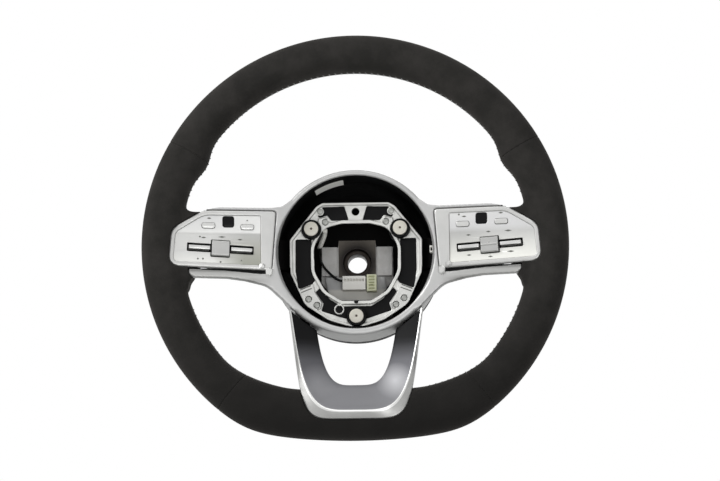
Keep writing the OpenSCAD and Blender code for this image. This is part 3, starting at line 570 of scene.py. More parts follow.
def make_materials():
    return {
        "suede": napped_suede("charcoal_suede_napped", "#383634", "#2b2a28", "#1b1a19"),
        "silver": satin_paint("satin_silver_paint", "#cfcfcd", "#c6c6c4", 0.34, 0.6),
        "bezel": bezel_paint("satin_silver_bezel"),
        # Darker and lighter copies of the satin silver: painted shade on the trim's flank, a painted
        # highlight along its fold
        "flank": satin_paint("satin_silver_flank_painted_shade", "#b2b2b0", "#a6a6a4", 0.36, 0.6),
        "fold": satin_paint("satin_silver_fold_painted_highlight", "#e2e2e0", "#d8d8d6", 0.3, 0.6),
        "plate_left": plate_paint("left", -1),
        "plate_right": plate_paint("right", 1),
        "keys": satin_paint("satin_silver_keys", "#d9d9d7", "#cececc", 0.28, 0.65),
        "block": satin_paint("satin_silver_blocks", "#bcbcba", "#b0b0ae", 0.3, 0.65),
        "dimple": moulded("brown_moulding_dimple", "#5a5148", "#4d453d", 0.3, 0.6, 0.005),
        "print": moulded("grey_screen_print", "#6f706b", "#666762", 0.3, 0.5, 0.005),
        "inner_face": shaded_satin("satin_silver_painted_reflection"),
        "black": moulded("black_abs_grained", "#0f0f10", "#161617", shine=0.12),
        "black_smooth": moulded("black_nylon_smooth", "#0a0a0b", "#111112", 0.5, 0.42, 0.02, 0.1),
        "zinc": plated_sheet("zinc_plated_steel", "#dededa", "#cbcbc8", 0.4, 0.55),
        "screw": plated_sheet("zinc_plated_screws", "#a2a39f", "#8c8d8a", 0.4),
        "spring": plated_sheet("spring_steel_wire", "#8d8d8d", "#7b7b7c", 0.3),
        "cast": cast_metal("cast_magnesium", "#d9d8d6", "#c6c4c1"),
        "boss": turned_steel("turned_steel_oiled", "#2e2824", "#1d1916"),
        "black_steel": plated_sheet("blackened_steel", "#2a2a2b", "#1d1d1e", 0.4),
        "pad": gloss_black("black_acrylic_polished"),
        "thread": twisted_thread("polyester_thread_bonded"),
        "foam": foam("polyurethane_foam_skinned"),
        "grey": two_tone("pale_pbt_moulded", "#f2f0e9", "#cdcdcc", "Z", -26, 2),
        "white": moulded("white_nylon_moulded", "#f4f2ec", "#e6e4dd", 0.5, 0.45, 0.02),
        "lead": two_tone("white_pvc_lead_in_black_sleeve", "#0e0e0e", "#f0eee8", "Z", 10, 1.5, 0.15),
        "green": moulded("pale_green_pbt", "#dfe1c2", "#d2d4b2", 0.5, 0.45, 0.02),
        "board": moulded("green_glass_epoxy_board", "#1c4f30", "#163f27", 1.2, 0.4, 0.02),
        "cream": moulded("cream_acetal_caps", "#ebe7db", "#dbd6c9", 0.5, 0.4, 0.02),
        "paper": two_tone("coated_paper_with_black_edge", "#0e0e0e", "#f4f3ee", "Y", -74, 0.6, 0.2),
    }


# The rim's own rule: a circle blended into a bowed flat, with a width that changes round the wheel

FLAT_POWER = 40
SECTION_POWER = 0.87
# Heights on the rim, in degrees above the spokes: where the grip starts to widen downwards, where it starts
# to widen towards the lower corners and over how many degrees, and where the thumb rests sit
WIDER_FROM = 40
CORNER_FROM = -40
CORNER_OVER = 22
THUMB_AT = 29
THUMB_SPREAD = 5.5


def eased(value):
    value = min(1, max(0, value))
    return value * value * (3 - 2 * value)


def signed_power(value, power):
    return math.copysign(abs(value) ** power, value)


def rim_outer(angle):
    rim = settings("wheel_rim")
    fall = -math.sin(angle)
    across = rim.radius * math.cos(angle)
    if fall < 0.3:
        return rim.radius
    flat = rim.flat - across * across / (2 * rim.bow)
    return rim.radius * (1 + (rim.radius * fall / flat) ** FLAT_POWER) ** (-1 / FLAT_POWER)


def grip_width(angle):
    rim = settings("wheel_rim")
    height = math.degrees(math.asin(math.sin(angle)))
    return (rim.width_top + (rim.width_side - rim.width_top) * eased((WIDER_FROM - height) / WIDER_FROM)
            + (rim.width_low - rim.width_side) * eased((CORNER_FROM - height) / CORNER_OVER)
            + rim.thumb * math.exp(-((height - THUMB_AT) / THUMB_SPREAD) ** 2))


def rim_middle(angle):
    return rim_outer(angle) - grip_width(angle) / 2


def rim_place(angle, radius, depth):
    rim = settings("wheel_rim")
    return Vector((radius * math.cos(angle), depth - rim.dish, rim.rise + radius * math.sin(angle)))


def rim_surface(angle, turn):
    """A point of the grip: turn 0 is its outer edge, 90 degrees the rear, 180 the edge towards the hub."""
    rim = settings("wheel_rim")
    across = grip_width(angle) / 2 * signed_power(math.cos(turn), SECTION_POWER)
    depth = rim.depth / 2 * signed_power(math.sin(turn), SECTION_POWER)
    return rim_place(angle, rim_middle(angle) + across, depth)


# Suede panels

MAJOR = 256
MINOR = 56
SEAMS = {"top": (30, 150), "right": (-50, 30), "bottom": (230, 310)}
ROOT_OUTLINE = [(170, 41.3), (148, 41.3), (146, 38.6), (143.6, 36.2), (140, 35.3), (129, 35.3), (129, 0),
                (141, -23.5), (143.0, -24.5), (143.4, -30), (148, -36), (170, -36)]
ARM_TIP = [(112, -15), (139.8, -15), (142, -18), (141.4, -22), (138, -24.2), (112, -24.6)]
ROOT_DEPTHS = (-100, -73.5)
ARM_TIP_DEPTHS = (-125, -94)
SKIN_CELL = 1.4 * MM
PAST_SEAM = 8
# Round the spoke root the skin is smoothed most: up to this far from the axis and from the middle, and fading
NEAR_X = 160 * MM
NEAR_X_FADE = 16 * MM
NEAR_Z = 75 * MM
NEAR_Z_FADE = 20 * MM
LEAST_SMOOTHING = 0.12
# How far a cutter is drawn out to the front, and how far behind its foremost point that starts
DRAWN_OUT = 20 * MM
FRONT_BAND = 1.2 * MM
# Rounding of a panel's end: shares of the seam's depth along the panel, and how far the leather lies in there
TURNED_IN = [(0.0, 1.0), (0.35, 0.42), (0.8, 0.12), (1.4, 0.0)]


def rim_ring(name):
    """The whole grip: a torus whose sections are set by the rim's rule."""
    rim = settings("wheel_rim")
    bpy.ops.mesh.primitive_torus_add(major_segments=MAJOR, minor_segments=MINOR, major_radius=rim.radius,
                                     minor_radius=rim.depth / 2)
    ring = named(name)
    for i, vertex in enumerate(ring.data.vertices):
        angle = 2 * math.pi * (i // MINOR) / MAJOR
        vertex.co = rim_surface(angle, 2 * math.pi * (i % MINOR) / MINOR)
    return recalculate(ring)


def prism(name, outline, front, rear):
    """A solid from an outline in X and Z, in millimetres, pulled from its front to its rear."""
    bpy.ops.mesh.primitive_circle_add(vertices=len(outline), fill_type="NGON")
    piece = named(name)
    for vertex, (x, z) in zip(piece.data.vertices, outline):
        vertex.co = Vector((x, front, z)) * MM
    edit(piece)
    bpy.ops.mesh.extrude_region_move(TRANSFORM_OT_translate={"value": (0, (rear - front) * MM, 0)})
    done()
    return recalculate(piece)


def rounded(corners, steps=6):
    """An outline of (x, z, radius) corners as points, each corner run round."""
    points = []
    for k, (x, z, radius) in enumerate(corners):
        here = Vector((x, z))
        before = (Vector(corners[k - 1][:2]) - here).normalized()
        after = (Vector(corners[(k + 1) % len(corners)][:2]) - here).normalized()
        half = before.angle(after) / 2
        centre = here + (before + after).normalized() * radius / math.sin(half)
        first = here + before * radius / math.tan(half) - centre
        last = here + after * radius / math.tan(half) - centre
        for i in range(steps + 1):
            points.append(centre + first.lerp(last, i / steps).normalized() * radius)
    return [(p.x, p.y) for p in points]


def moved_in(corners, distance):
    """The same outline a distance further in, or out for a negative distance."""
    result = []
    for k, (x, z, radius) in enumerate(corners):
        here = Vector((x, z))
        before = (Vector(corners[k - 1][:2]) - here).normalized()
        after = (Vector(corners[(k + 1) % len(corners)][:2]) - here).normalized()
        place = here + (before + after).normalized() * distance / math.sin(before.angle(after) / 2)
        result.append((place.x, place.y, max(0.3, radius - distance)))
    return result


def both_sides(corners):
    return corners + [(-x, z, radius) for x, z, radius in reversed(corners)]


def mirrored(corners, side):
    return [(x * side, z, radius) for x, z, radius in corners]


def disc(x, z, radius, count=32):
    return [(x + radius * math.cos(2 * math.pi * i / count), z + radius * math.sin(2 * math.pi * i / count))
            for i in range(count)]


# Place of a pod's face: its hub end in X and Y, and its turn towards the driver's hand
POD_X = 70 * MM
POD_Y = -86 * MM
POD_TILT = math.radians(10)


def front_of(side):
    """The direction in which a pod's face looks."""
    return Vector((-math.sin(POD_TILT) * side, -math.cos(POD_TILT), 0))


def hull_cutter(node, grow=0.4 * MM, inner_end=0.0):
    """The convex body round a CAD node beyond its inner end, a little larger and drawn out to the front."""
    front = front_of(1)
    cutter = copy_of(node, "cutter")
    edit(cutter, "VERT")
    bpy.ops.mesh.select_all(action="DESELECT")
    done()
    for vertex in cutter.data.vertices:
        vertex.select = vertex.co.x <= inner_end
    bpy.ops.object.mode_set(mode="EDIT")
    bpy.ops.mesh.delete(type="VERT")
    bpy.ops.mesh.select_all(action="SELECT")
    bpy.ops.mesh.convex_hull()
    bpy.ops.mesh.normals_make_consistent(inside=False)
    bpy.ops.transform.shrink_fatten(value=grow)
    done()
    reach = max(v.co.dot(front) for v in cutter.data.vertices)
    for vertex in cutter.data.vertices:
        if vertex.co.dot(front) > reach - FRONT_BAND:
            vertex.co += front * DRAWN_OUT
    return cutter


def bisected(piece, angle, keep, shift=0.0, clear=True):
    """Cuts a panel in a plane through the wheel's axis; keep is +1 for the side with larger angles."""
    rim = settings("wheel_rim")
    normal = Vector((-math.sin(angle), 0, math.cos(angle))) * keep
    point = Vector((0, -rim.dish, rim.rise)) + normal * shift
    edit(piece)
    bpy.ops.mesh.bisect(plane_co=point, plane_no=normal, use_fill=clear, clear_inner=clear)
    return done()


def turn_in(piece, angle, keep):
    """Rounds a panel's end down into its seam."""
    rim = settings("wheel_rim")
    normal = Vector((-math.sin(angle), 0, math.cos(angle))) * keep
    centre = rim_place(angle, rim_middle(angle), 0)
    for along, _ in TURNED_IN[1:]:
        bisected(piece, angle, keep, along * rim.seam_depth, clear=False)
    for vertex in piece.data.vertices:
        away = (vertex.co - centre).dot(normal) / rim.seam_depth
        if away < TURNED_IN[-1][0] + 0.1 and (vertex.co - centre).length < 40 * MM:
            share = next(share for along, share in reversed(TURNED_IN) if away > along - 0.05 or along == 0)
            flat = vertex.co - centre
            flat -= normal * flat.dot(normal)
            if flat.length > 1 * MM:
                vertex.co -= flat.normalized() * share * rim.seam_depth


def panel(source, name, first, last):
    piece = twin(source, name)
    for degrees, keep in ((first, 1), (last, -1)):
        bisected(piece, math.radians(degrees), keep)
        turn_in(piece, math.radians(degrees), keep)
    return piece


def side_body(ring):
    """The right of the rim and its spoke root in one skin, as the leather is drawn over both."""
    body = twin(ring, "side_body")
    first, last = SEAMS["right"]
    for degrees, keep in ((first - PAST_SEAM, 1), (last + PAST_SEAM, -1)):
        bisected(body, math.radians(degrees), keep)
    root = prism("root", ROOT_OUTLINE, *ROOT_DEPTHS)
    only(body, root)
    bpy.ops.object.join()
    apply_modifier(body, "REMESH", mode="VOXEL", voxel_size=SKIN_CELL)
    near = body.vertex_groups.new(name="near")
    for vertex in body.data.vertices:
        x, z = abs(vertex.co.x), abs(vertex.co.z)
        weight = eased((NEAR_X - x) / NEAR_X_FADE) * eased((NEAR_Z - z) / NEAR_Z_FADE)
        near.add([vertex.index], max(LEAST_SMOOTHING, weight), "REPLACE")
    apply_modifier(body, "SMOOTH", vertex_group="near", factor=0.6, iterations=22)
    body.vertex_groups.clear()
    return body


class WHEEL_OT_suede(bpy.types.Operator):
    """Wraps the rim and the spoke roots in four suede panels"""
    bl_idname = "wheel.suede"
    bl_label = "Suede Panels"

    def execute(self, context):
        ring = rim_ring("rim_ring")
        trim_cut = loft("trim_seat", round_the_arch(seat_section))
        right = self.side_panel(ring)
        left = twin(right, "suede_left")
        for vertex in left.data.vertices:
            vertex.co.x = -vertex.co.x
        recalculate(left)
        for piece, *replaced in ((right, "leather_right", "rim_foam"), (left, "leather_left")):
            smooth(piece, 50)
            stand_for(piece, "suede", *replaced)
        for name in ("top", "bottom"):
            piece = panel(ring, "suede_" + name, *SEAMS[name])
            if name == "bottom":
                cut(piece, trim_cut)
            smooth(piece, 50)
            stand_for(piece, "suede", "leather_" + name)
        bpy.data.objects.remove(ring)
        return {"FINISHED"}

    def side_panel(self, ring):
        """The right panel, drawn over the spoke root and cut free round the pod; the left one mirrors it."""
        body = side_body(ring)
        piece = panel(body, "suede_right", *SEAMS["right"])
        bpy.data.objects.remove(body)
        cut(piece, hull_cutter("pod_frame_right"))
        cut(piece, hull_cutter("pod_housing_right"))
        cut(piece, hull_cutter("hub_bezel", 0.55 * MM, 125 * MM))
        return cut(piece, prism("arm_tip", ARM_TIP, *ARM_TIP_DEPTHS))


# Sewing thread along the inner edge of the rim

STITCH_LENGTH = 4.0 * MM
STITCH_LEAN = 0.32
SEAM_GAP = 1.5 * MM
SEWN = ((17.5, 162.5), (201, 243), (-63, -21))
# Degrees round the section at which the seam runs, and how far it drifts back past an angle on the left
SEAM_AT = 179
DRIFT = 14
DRIFT_FROM = 118
DRIFT_OVER = 16


def seam_turn(angle):
    """Where the seam runs round the section: near the edge towards the hub, further back at the left."""
    degrees = math.degrees(angle) % 360
    drift = DRIFT * eased((degrees - DRIFT_FROM) / DRIFT_OVER) if degrees < 270 else 0
    return math.radians(SEAM_AT - drift)


def one_stitch():
    """A short pulled loop of thread: thick in the middle and drawn down into its two holes."""
    rim = settings("wheel_rim")
    bpy.ops.mesh.primitive_uv_sphere_add(segments=8, ring_count=6, radius=0.5)
    stitch = named("stitch")
    stitch.scale = (rim.thread, rim.thread, STITCH_LENGTH)
    settle(stitch)
    for vertex in stitch.data.vertices:
        share = abs(vertex.co.z) / (STITCH_LENGTH / 2)
        vertex.co.y -= rim.thread * 0.55 * share ** 3
    return stitch


class WHEEL_OT_stitching(bpy.types.Operator):
    """Sews the seam along the inner edge of the rim"""
    bl_idname = "wheel.stitching"
    bl_label = "Stitching"

    def execute(self, context):
        rim = settings("wheel_rim")
        stitch = one_stitch()
        places = []
        for first, last in SEWN:
            angle = math.radians(first)
            while angle < math.radians(last):
                places.append(angle)
                angle += rim.stitch_pitch / (rim_middle(angle) - grip_width(angle) / 2)
        copies = []
        for angle in places:
            turn = seam_turn(angle)
            here = rim_surface(angle, turn)
            along = (rim_surface(angle + 0.01, turn) - here).normalized()
            out = (here - rim_place(angle, rim_middle(angle), 0)).normalized()
            across = along.cross(out).normalized()
            for offset in (1, -1):
                lean = STITCH_LEAN * offset
                length = (across * math.cos(lean) + along * math.sin(lean)).normalized()
                width = out.cross(length).normalized()
                matrix = Matrix((width, out, length)).transposed().to_4x4()
                matrix.translation = here + out * 0.1 * MM + across * offset * SEAM_GAP
                item = twin(stitch, "stitch_copy")
                item.data.transform(matrix)
                copies.append(item)
        only(*copies)
        bpy.ops.object.join()
        thread = named("rim_thread")
        bpy.data.objects.remove(stitch)
        smooth(thread, 60)
        dress(thread, "thread")
        return {"FINISHED"}


# Silver trims

# Middle in X and Z and radius of the hollow turned into the ring's front, which leaves it narrower at the top
RING_RELIEF = (0, 0.9, 67.0)
RELIEF_DEPTHS = (-92, -79.7)


class WHEEL_OT_bezel(bpy.types.Operator):
    """Narrows the hub bezel's ring and rounds the edges"""
    bl_idname = "wheel.bezel"
    bl_label = "Hub Bezel"

    def execute(self, context):
        bezel = copy_of("hub_bezel", "hub_bezel_piece")
        cut(bezel, prism("ring_relief", disc(*RING_RELIEF, 192), *RELIEF_DEPTHS))
        melted(bezel, "hub_bezel", "bezel", 0.85, 8)
        return {"FINISHED"}


TRIM_TOP = 45.9
TRIM_STEPS = 120
TRIM_SPREAD = 4.5
# Half width, lowest point, taper and roundness of the trim's three arches
OUTER_ARCH = (58.5, 147.8, 0.22, 7)
FOLD_ARCH = (57.5, 141.3, 0.25, 4.4)
WINDOW_ARCH = (37, 116.7, 0.25, 4)
# The fold's depth at the top and how far it comes forward below; the window's edge lies deeper than the fold
FOLD_DEPTH = -83
FOLD_FORWARD = 26
WINDOW_DROP = 20
TRIM_WALL = 2.5
TRIM_FLANK = 9.5
SEAT_GAP = 0.4
# The trim's materials for its rows of faces: painted shade on the flank, painted reflection on the inner
# face, painted highlight on the fold
TRIM_MATERIALS = ("flank", "inner_face", "fold")
TRIM_ROWS = (0, 0, 0, 2, 2, 1, 1, 1, 1, 1, 1, 1, 0, 0, 0, 0)
DRUM_RADIUS = 75.4 * MM


def loft(name, sections, materials=(), rows=()):
    """A closed body through rings of points, with filled ends; rows gives each row of faces its material."""
    count = len(sections[0])
    bpy.ops.mesh.primitive_grid_add(x_subdivisions=count, y_subdivisions=len(sections) - 1, size=1)
    body = named(name)
    for i, vertex in enumerate(body.data.vertices):
        vertex.co = sections[i // (count + 1)][i % (count + 1) % count]
    for material in materials:
        body.data.materials.append(material)
    for i, face in enumerate(body.data.polygons):
        face.material_index = rows[i % count] if rows else 0
    recalculate(body)
    edit(body, "EDGE")
    bpy.ops.mesh.select_all(action="DESELECT")
    bpy.ops.mesh.select_non_manifold()
    bpy.ops.mesh.fill()
    bpy.ops.mesh.select_all(action="SELECT")
    bpy.ops.mesh.normals_make_consistent(inside=False)
    return done()


def fall_of(turn):
    return math.sin(turn) ** (2 / TRIM_SPREAD)


def arch(turn, shape, grow=0.0):
    """A point in X and Z of one of the trim's arches, which may be made larger all round."""
    half, low, taper, power = shape
    fall = fall_of(turn)
    across = max(0, 1 - fall ** power) ** (1 / power) * math.copysign(1, math.cos(turn))
    return (half + grow) * (1 - taper * fall) * across, -TRIM_TOP - (low + grow - TRIM_TOP) * fall


def between(a, b, share):
    return a[0] + (b[0] - a[0]) * share, a[1] + (b[1] - a[1]) * share


def trim_depths(turn):
    """Depth of the fold, and how much deeper the window's edge lies there."""
    fall = min(1, max(0, (-arch(turn, FOLD_ARCH)[1] - TRIM_TOP) / (FOLD_ARCH[1] - TRIM_TOP)))
    return FOLD_DEPTH - FOLD_FORWARD * fall, WINDOW_DROP * (0.38 + 0.62 * fall)


def trim_section(turn):
    """One section through the lower spoke's trim: flank, fold and sloping inner face."""
    ridge, drop = trim_depths(turn)
    outer, fold, window = [arch(turn, shape) for shape in (OUTER_ARCH, FOLD_ARCH, WINDOW_ARCH)]
    points = [(outer, TRIM_FLANK), (outer, 3.0), (between(outer, fold, 0.1), 1.9),
              (between(outer, fold, 0.85), 0.2), (fold, 0), (between(fold, window, 0.04), 0.5)]
    points += [(between(fold, window, share), drop * share) for share in (0.14, 0.3, 0.5, 0.7, 0.86, 0.97)]
    points += [(window, drop + 0.4), (window, drop + TRIM_WALL), (arch(turn, FOLD_ARCH, -TRIM_WALL), 3.7),
               (arch(turn, OUTER_ARCH, -TRIM_WALL), TRIM_FLANK)]
    return [Vector((place[0], ridge + depth, place[1])) * MM for place, depth in points]


def seat_section(turn):
    """The space that the trim takes out of the rim, open to the front."""
    ridge, drop = trim_depths(turn)
    outer, window = arch(turn, OUTER_ARCH, SEAT_GAP), arch(turn, WINDOW_ARCH, -SEAT_GAP)
    points = [(outer, ridge + TRIM_FLANK + SEAT_GAP), (outer, -140), (window, -140),
              (window, ridge + drop + TRIM_WALL + SEAT_GAP)]
    return [Vector((place[0], y, place[1])) * MM for place, y in points]


def round_the_arch(section):
    return [section(math.pi * i / TRIM_STEPS) for i in range(TRIM_STEPS + 1)]


class WHEEL_OT_lower_spoke(bpy.types.Operator):
    """Lofts the U shaped trim of the lower spoke"""
    bl_idname = "wheel.lower_spoke"
    bl_label = "Lower Spoke Trim"

    def execute(self, context):
        materials = [MATERIALS[key] for key in TRIM_MATERIALS]
        trim = loft("lower_trim_piece", round_the_arch(trim_section), materials, TRIM_ROWS)
        bpy.ops.mesh.primitive_cylinder_add(vertices=192, radius=DRUM_RADIUS, depth=94 * MM,
                                            location=(0, -67 * MM, 0), rotation=(math.pi / 2, 0, 0))
        drum = settle(named("drum"))
        cut(trim, drum)
        smooth(trim, 28)
        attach(trim, "root")
        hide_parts("lower_trim")
        return {"FINISHED"}


# Switch pods

CREASE = 16.0 * MM
PLATE_FOOT = -11.2 * MM
PLATE_FRONT = 1.2 * MM
PLATE_LEVELS = 26
HOLLOW_SHAPE = 2.2


def depth_in_pod(co, side):
    """How far a point lies behind a pod's flat face."""
    return (co.x * side - POD_X) * math.sin(POD_TILT) + (co.y - POD_Y) * math.cos(POD_TILT)


def on_pod(side, along, height, depth=0.0):
    """A point on a pod's face: along it from the hub outwards, up, and into it."""
    x = POD_X + along * math.cos(POD_TILT) + depth * math.sin(POD_TILT)
    y = POD_Y - along * math.sin(POD_TILT) + depth * math.cos(POD_TILT)
    return Vector((x * side, y, height))


def hollow_at(z):
    """How far the plate's hollow lies behind its flat face at a height."""
    share = min(1, max(0, (CREASE - z) / (CREASE - PLATE_FOOT)))
    return settings("wheel_finish").plate_hollow * share * (1 - share) * HOLLOW_SHAPE


def hollow_plate(name, side):
    """The switch plate, creased below its buttons and gently hollowed under the crease."""
    piece = join_flat_faces(copy_of("pod_plate_" + name, "pod_plate_%s_piece" % name))
    apply_modifier(piece, "BEVEL", width=0.25 * MM, segments=2, limit_method="ANGLE",
                   angle_limit=math.radians(35))
    for i in range(PLATE_LEVELS + 1):
        level = PLATE_FOOT + (CREASE - PLATE_FOOT) * i / PLATE_LEVELS
        edit(piece)
        bpy.ops.mesh.bisect(plane_co=(0, 0, level), plane_no=(0, 0, 1))
        done()
    for vertex in piece.data.vertices:
        if depth_in_pod(vertex.co, side) < PLATE_FRONT and vertex.co.z < CREASE:
            vertex.co -= front_of(side) * hollow_at(vertex.co.z)
    smooth(piece, 20)
    stand_for(piece, "plate_" + name, "pod_plate_" + name)


# Corners, half width and half height of each kind of mark
MARK_KINDS = {"dot": (24, 0.8, 0.8), "bar": (4, 2.2, 0.75), "arrow": (3, 1.1, 0.9), "long": (4, 3.4, 0.8)}
# Kind and place of each mark, along the plate from the hub and up
MARKS = {
    "left": [("bar", 56.8, 29.6), ("arrow", 23.6, 28.0), ("bar", 61.6, 12.6), ("dot", 64.8, 13.4),
             ("long", 45.6, 13.3), ("bar", 29.9, 11.2), ("dot", 66.6, -5.9), ("dot", 62.2, -5.9),
             ("dot", 46.9, -8.6), ("arrow", 28.8, -7.2)],
    "right": [("dot", 20.4, 30.6), ("bar", 25.0, 28.8), ("bar", 57.1, 30.6), ("bar", 46.0, 14.6),
              ("long", 63.3, 14.8), ("bar", 28.5, 12.4), ("bar", 28.8, -5.2), ("bar", 47.5, -7.2),
              ("long", 65.2, -3.4)],
}
PRINT_FRONT = -0.06
PRINT_REAR = 0.1


def mark(side, kind, along, height):
    """One plain printed mark of a switch plate, a few hundredths of a millimetre thick."""
    count, across, tall = MARK_KINDS[kind]
    bpy.ops.mesh.primitive_cylinder_add(vertices=count, radius=1, depth=1)
    piece = named("mark")
    for vertex in piece.data.vertices:
        x, z = (along + vertex.co.x * across) * MM, (height + vertex.co.y * tall) * MM
        depth = PRINT_FRONT if vertex.co.z > 0 else PRINT_REAR
        vertex.co = on_pod(side, x, z, hollow_at(z) + depth * MM)
    return piece


class WHEEL_OT_marks(bpy.types.Operator):
    """Prints plain marks beside the keys of the switch plates"""
    bl_idname = "wheel.marks"
    bl_label = "Plain Marks"

    def execute(self, context):
        for name, side in SIDES.items():
            pieces = [mark(side, *values) for values in MARKS[name]]
            only(*pieces)
            bpy.ops.object.join()
            dress(recalculate(named("plate_marks_" + name)), "print")
        return {"FINISHED"}


CATCHES = [[(1.5, -14.5), (5.5, -13.0), (8.0, -15.2), (7.6, -19.5), (4.5, -21.6), (2.0, -19.5)],
           [(8.2, -11.4), (10.2, -9.6), (13.0, -10.2), (13.6, -13.4), (11.0, -14.8), (8.6, -14.0)]]
# Outline of a black piece that stands as painted shadow in the hollow between the pod and the bezel's arm
SHADOW_FILLER = [(7.4, -14.2), (70, -14.0), (70, -17.4), (36, -17.6), (17.5, -18.4), (12.5, -19.8),
                (8.0, -21.4)]
# Front and rear of the catches and of the black piece that stands as painted shadow in the hollow beside
# them, from the pod's flat face inwards
CATCH_DEPTHS = (-2.2, 3.0)
SHADOW_FILLER_DEPTHS = (3.0, 5.0)


def faceted(name, outline):
    """A catch whose front stands in a facet, as a cast piece has it."""
    piece = prism(name, outline, *CATCH_DEPTHS)
    edit(piece)
    bpy.ops.mesh.select_all(action="DESELECT")
    done()
    for face in piece.data.polygons:
        face.select = face.normal.y < -0.9
    bpy.ops.object.mode_set(mode="EDIT")
    bpy.ops.mesh.inset(thickness=1.1 * MM, depth=0.8 * MM)
    return done()


class WHEEL_OT_catches(bpy.types.Operator):
    """Adds the bright faceted catches at each pod's lower hub corner, and beside them a black piece as
    painted shadow in the hollow
    """
    bl_idname = "wheel.catches"
    bl_label = "Pod Catches"

    def execute(self, context):
        for name, side in SIDES.items():
            pair = [faceted("catch_" + name, outline) for outline in CATCHES]
            only(*pair)
            bpy.ops.object.join()
            self.seat(named("catch_" + name), side, "keys", "silver_keys")
            shadow_filler = prism("painted_shadow_filler_" + name, SHADOW_FILLER, *SHADOW_FILLER_DEPTHS)
            self.seat(shadow_filler, side, "black", "black_plastic")
        return {"FINISHED"}

    def seat(self, piece, side, material, slot):
        """Brings a piece that was drawn flat to its place on the pod's tilted face."""
        for vertex in piece.data.vertices:
            vertex.co = on_pod(side, vertex.co.x, vertex.co.z, vertex.co.y)
        dress(recalculate(piece), material)


class WHEEL_OT_pods(bpy.types.Operator):
    """Finishes the two switch pods and their keys"""
    bl_idname = "wheel.pods"
    bl_label = "Switch Pods"

    def execute(self, context):
        finish = settings("wheel_finish")
        for name, side in SIDES.items():
            frame_piece = copy_of("pod_frame_" + name, "pod_frame_%s_piece" % name)
            melted(frame_piece, "pod_frame_" + name, "silver", 0.5, 7)
            hollow_plate(name, side)
            for key in ("outer_button_", "inner_button_", "outer_blade_", "inner_blade_"):
                softened(key + name, "keys", finish.key_edge, 3, 30)
            block = copy_of("centre_rocker_" + name, "centre_rocker_%s_piece" % name)
            melted(block, "centre_rocker_" + name, "block", 0.3, 4)
            softened("touch_pad_" + name, "pad", finish.key_edge, 3, 30)
        return {"FINISHED"}


# Hub

# Material and edge rounding of the pieces whose edges are rounded
HUB_PIECES = {
    "plate_screws": ("screw", 0.5), "carrier_frame": ("black_smooth", 0.3),
    "horn_cup_left": ("black_smooth", 0.3), "horn_cup_right": ("black_smooth", 0.3),
    "horn_cup_bottom": ("black_smooth", 0.3), "horn_cap_left": ("cream", 0.25),
    "horn_cap_right": ("cream", 0.25), "horn_cap_bottom": ("cream", 0.25), "hub_boss": ("boss", 0.5),
    "control_module": ("grey", 0.5), "yellow_connector": ("green", 0.15), "bezel_clip": ("white", 0.3),
    "cover_screws": ("black_steel", 0.4), "arm_cover_left": ("black", 0.8), "arm_cover_right": ("black", 0.8),
}
PLAIN_NODES = {
    "armature": "cast", "back_cover": "black", "lower_cover": "black", "white_connector": "white",
    "horn_spring_left": "spring", "horn_spring_right": "spring", "horn_spring_bottom": "spring",
    "pod_board_left": "board", "pod_board_right": "board", "pod_housing_left": "black_smooth",
    "pod_housing_right": "black_smooth", "rim_foam": "foam",
}
HORNS = ("left", "right", "bottom")

# Outlines on the contact plate, each corner with its radius
HUB_OUTLINE = both_sides([(29, 46.8, 4), (34.5, 43.5, 4), (58, 14, 5), (57.4, -15, 8), (45, -43, 12),
                          (24, -57, 12), (8, -62, 4)])
OPENING = both_sides([(12, 28.4, 20), (28.2, 24.4, 14), (36.6, 8, 16), (36.4, -14, 18), (27, -31, 14),
                      (13, -40, 10)])
SIDE_POCKET = [(52.5, 15, 1), (38.8, 15, 1), (38.8, -13, 2), (34.8, -19.5, 1), (37.8, -24.2, 1),
               (50.3, -29, 1), (52.8, -12, 2)]
TOP_POCKET = [(30.5, 43.2, 2), (9.8, 43.6, 1), (6.2, 31.6, 1), (21.4, 31.4, 2), (24.8, 36, 1), (31.5, 34, 1),
              (35.8, 38.4, 2)]
LOW_POCKET = both_sides([(13, -44.6, 2), (23.5, -38, 3), (30, -26.5, 1), (35.4, -31.8, 1), (28.5, -42, 1),
                         (30.5, -48.5, 1), (9, -55.5, 1)])
LOW_PAD = [(37.6, -24.6, 1), (50, -29.6, 1), (47.4, -36.5, 3), (40, -47, 3), (31.4, -46.6, 1),
           (30, -41.6, 1), (36, -32.2, 1)]
TOP_PAD = [(21.5, 27.6, 1), (28.4, 21.6, 0.3), (33.6, 27, 1), (32, 33, 1), (26, 34, 1)]
TAB_FOOT = [(8, 32.3), (-8, 32.3), (-8, 31.5), (8, 31.5)]
PLATE_SCREWS = [(30.9, 39.3), (26.4, 29.8), (41.6, -38), (34.4, -43.5)]
GROOVE = [(39.4, -26.6), (48.7, -30.3), (49.0, -29.5), (39.7, -25.8)]
RING_HOLE = (-15, -47.4)
RING_WALL = 4.5
TOP_HOLE = (0, 38.9)
HOLE_RADIUS = 3.3
NOTCH = [(1.7, -36), (-1.7, -36), (-1.7, -42.2), (1.7, -42.2)]
TRAY_RIM = 2.2
COLLAR_WIDTH = 2.8
SCREW_LAND = 3.4
SCREW_SEAT = 2.9
CUP_GAP = 0.4
GROOVE_STEP = (0.9, 2.3)
# Front and rear of the plate, of the hollow that leaves its rims standing, of screw seats and of grooves
PLATE_DEPTHS = (-66, -63)
TRAY_DEPTHS = (-70, -64.2)
SEAT_DEPTHS = (-72, -64.1)
GROOVE_DEPTHS = (-66.1, -65.4)
# Front and rear of cutters: through the plate, round what stays standing in a pocket, and in the hollow
THROUGH = (-72, -60)
STANDING = (-74, -58)
IN_TRAY = (-72, -62)


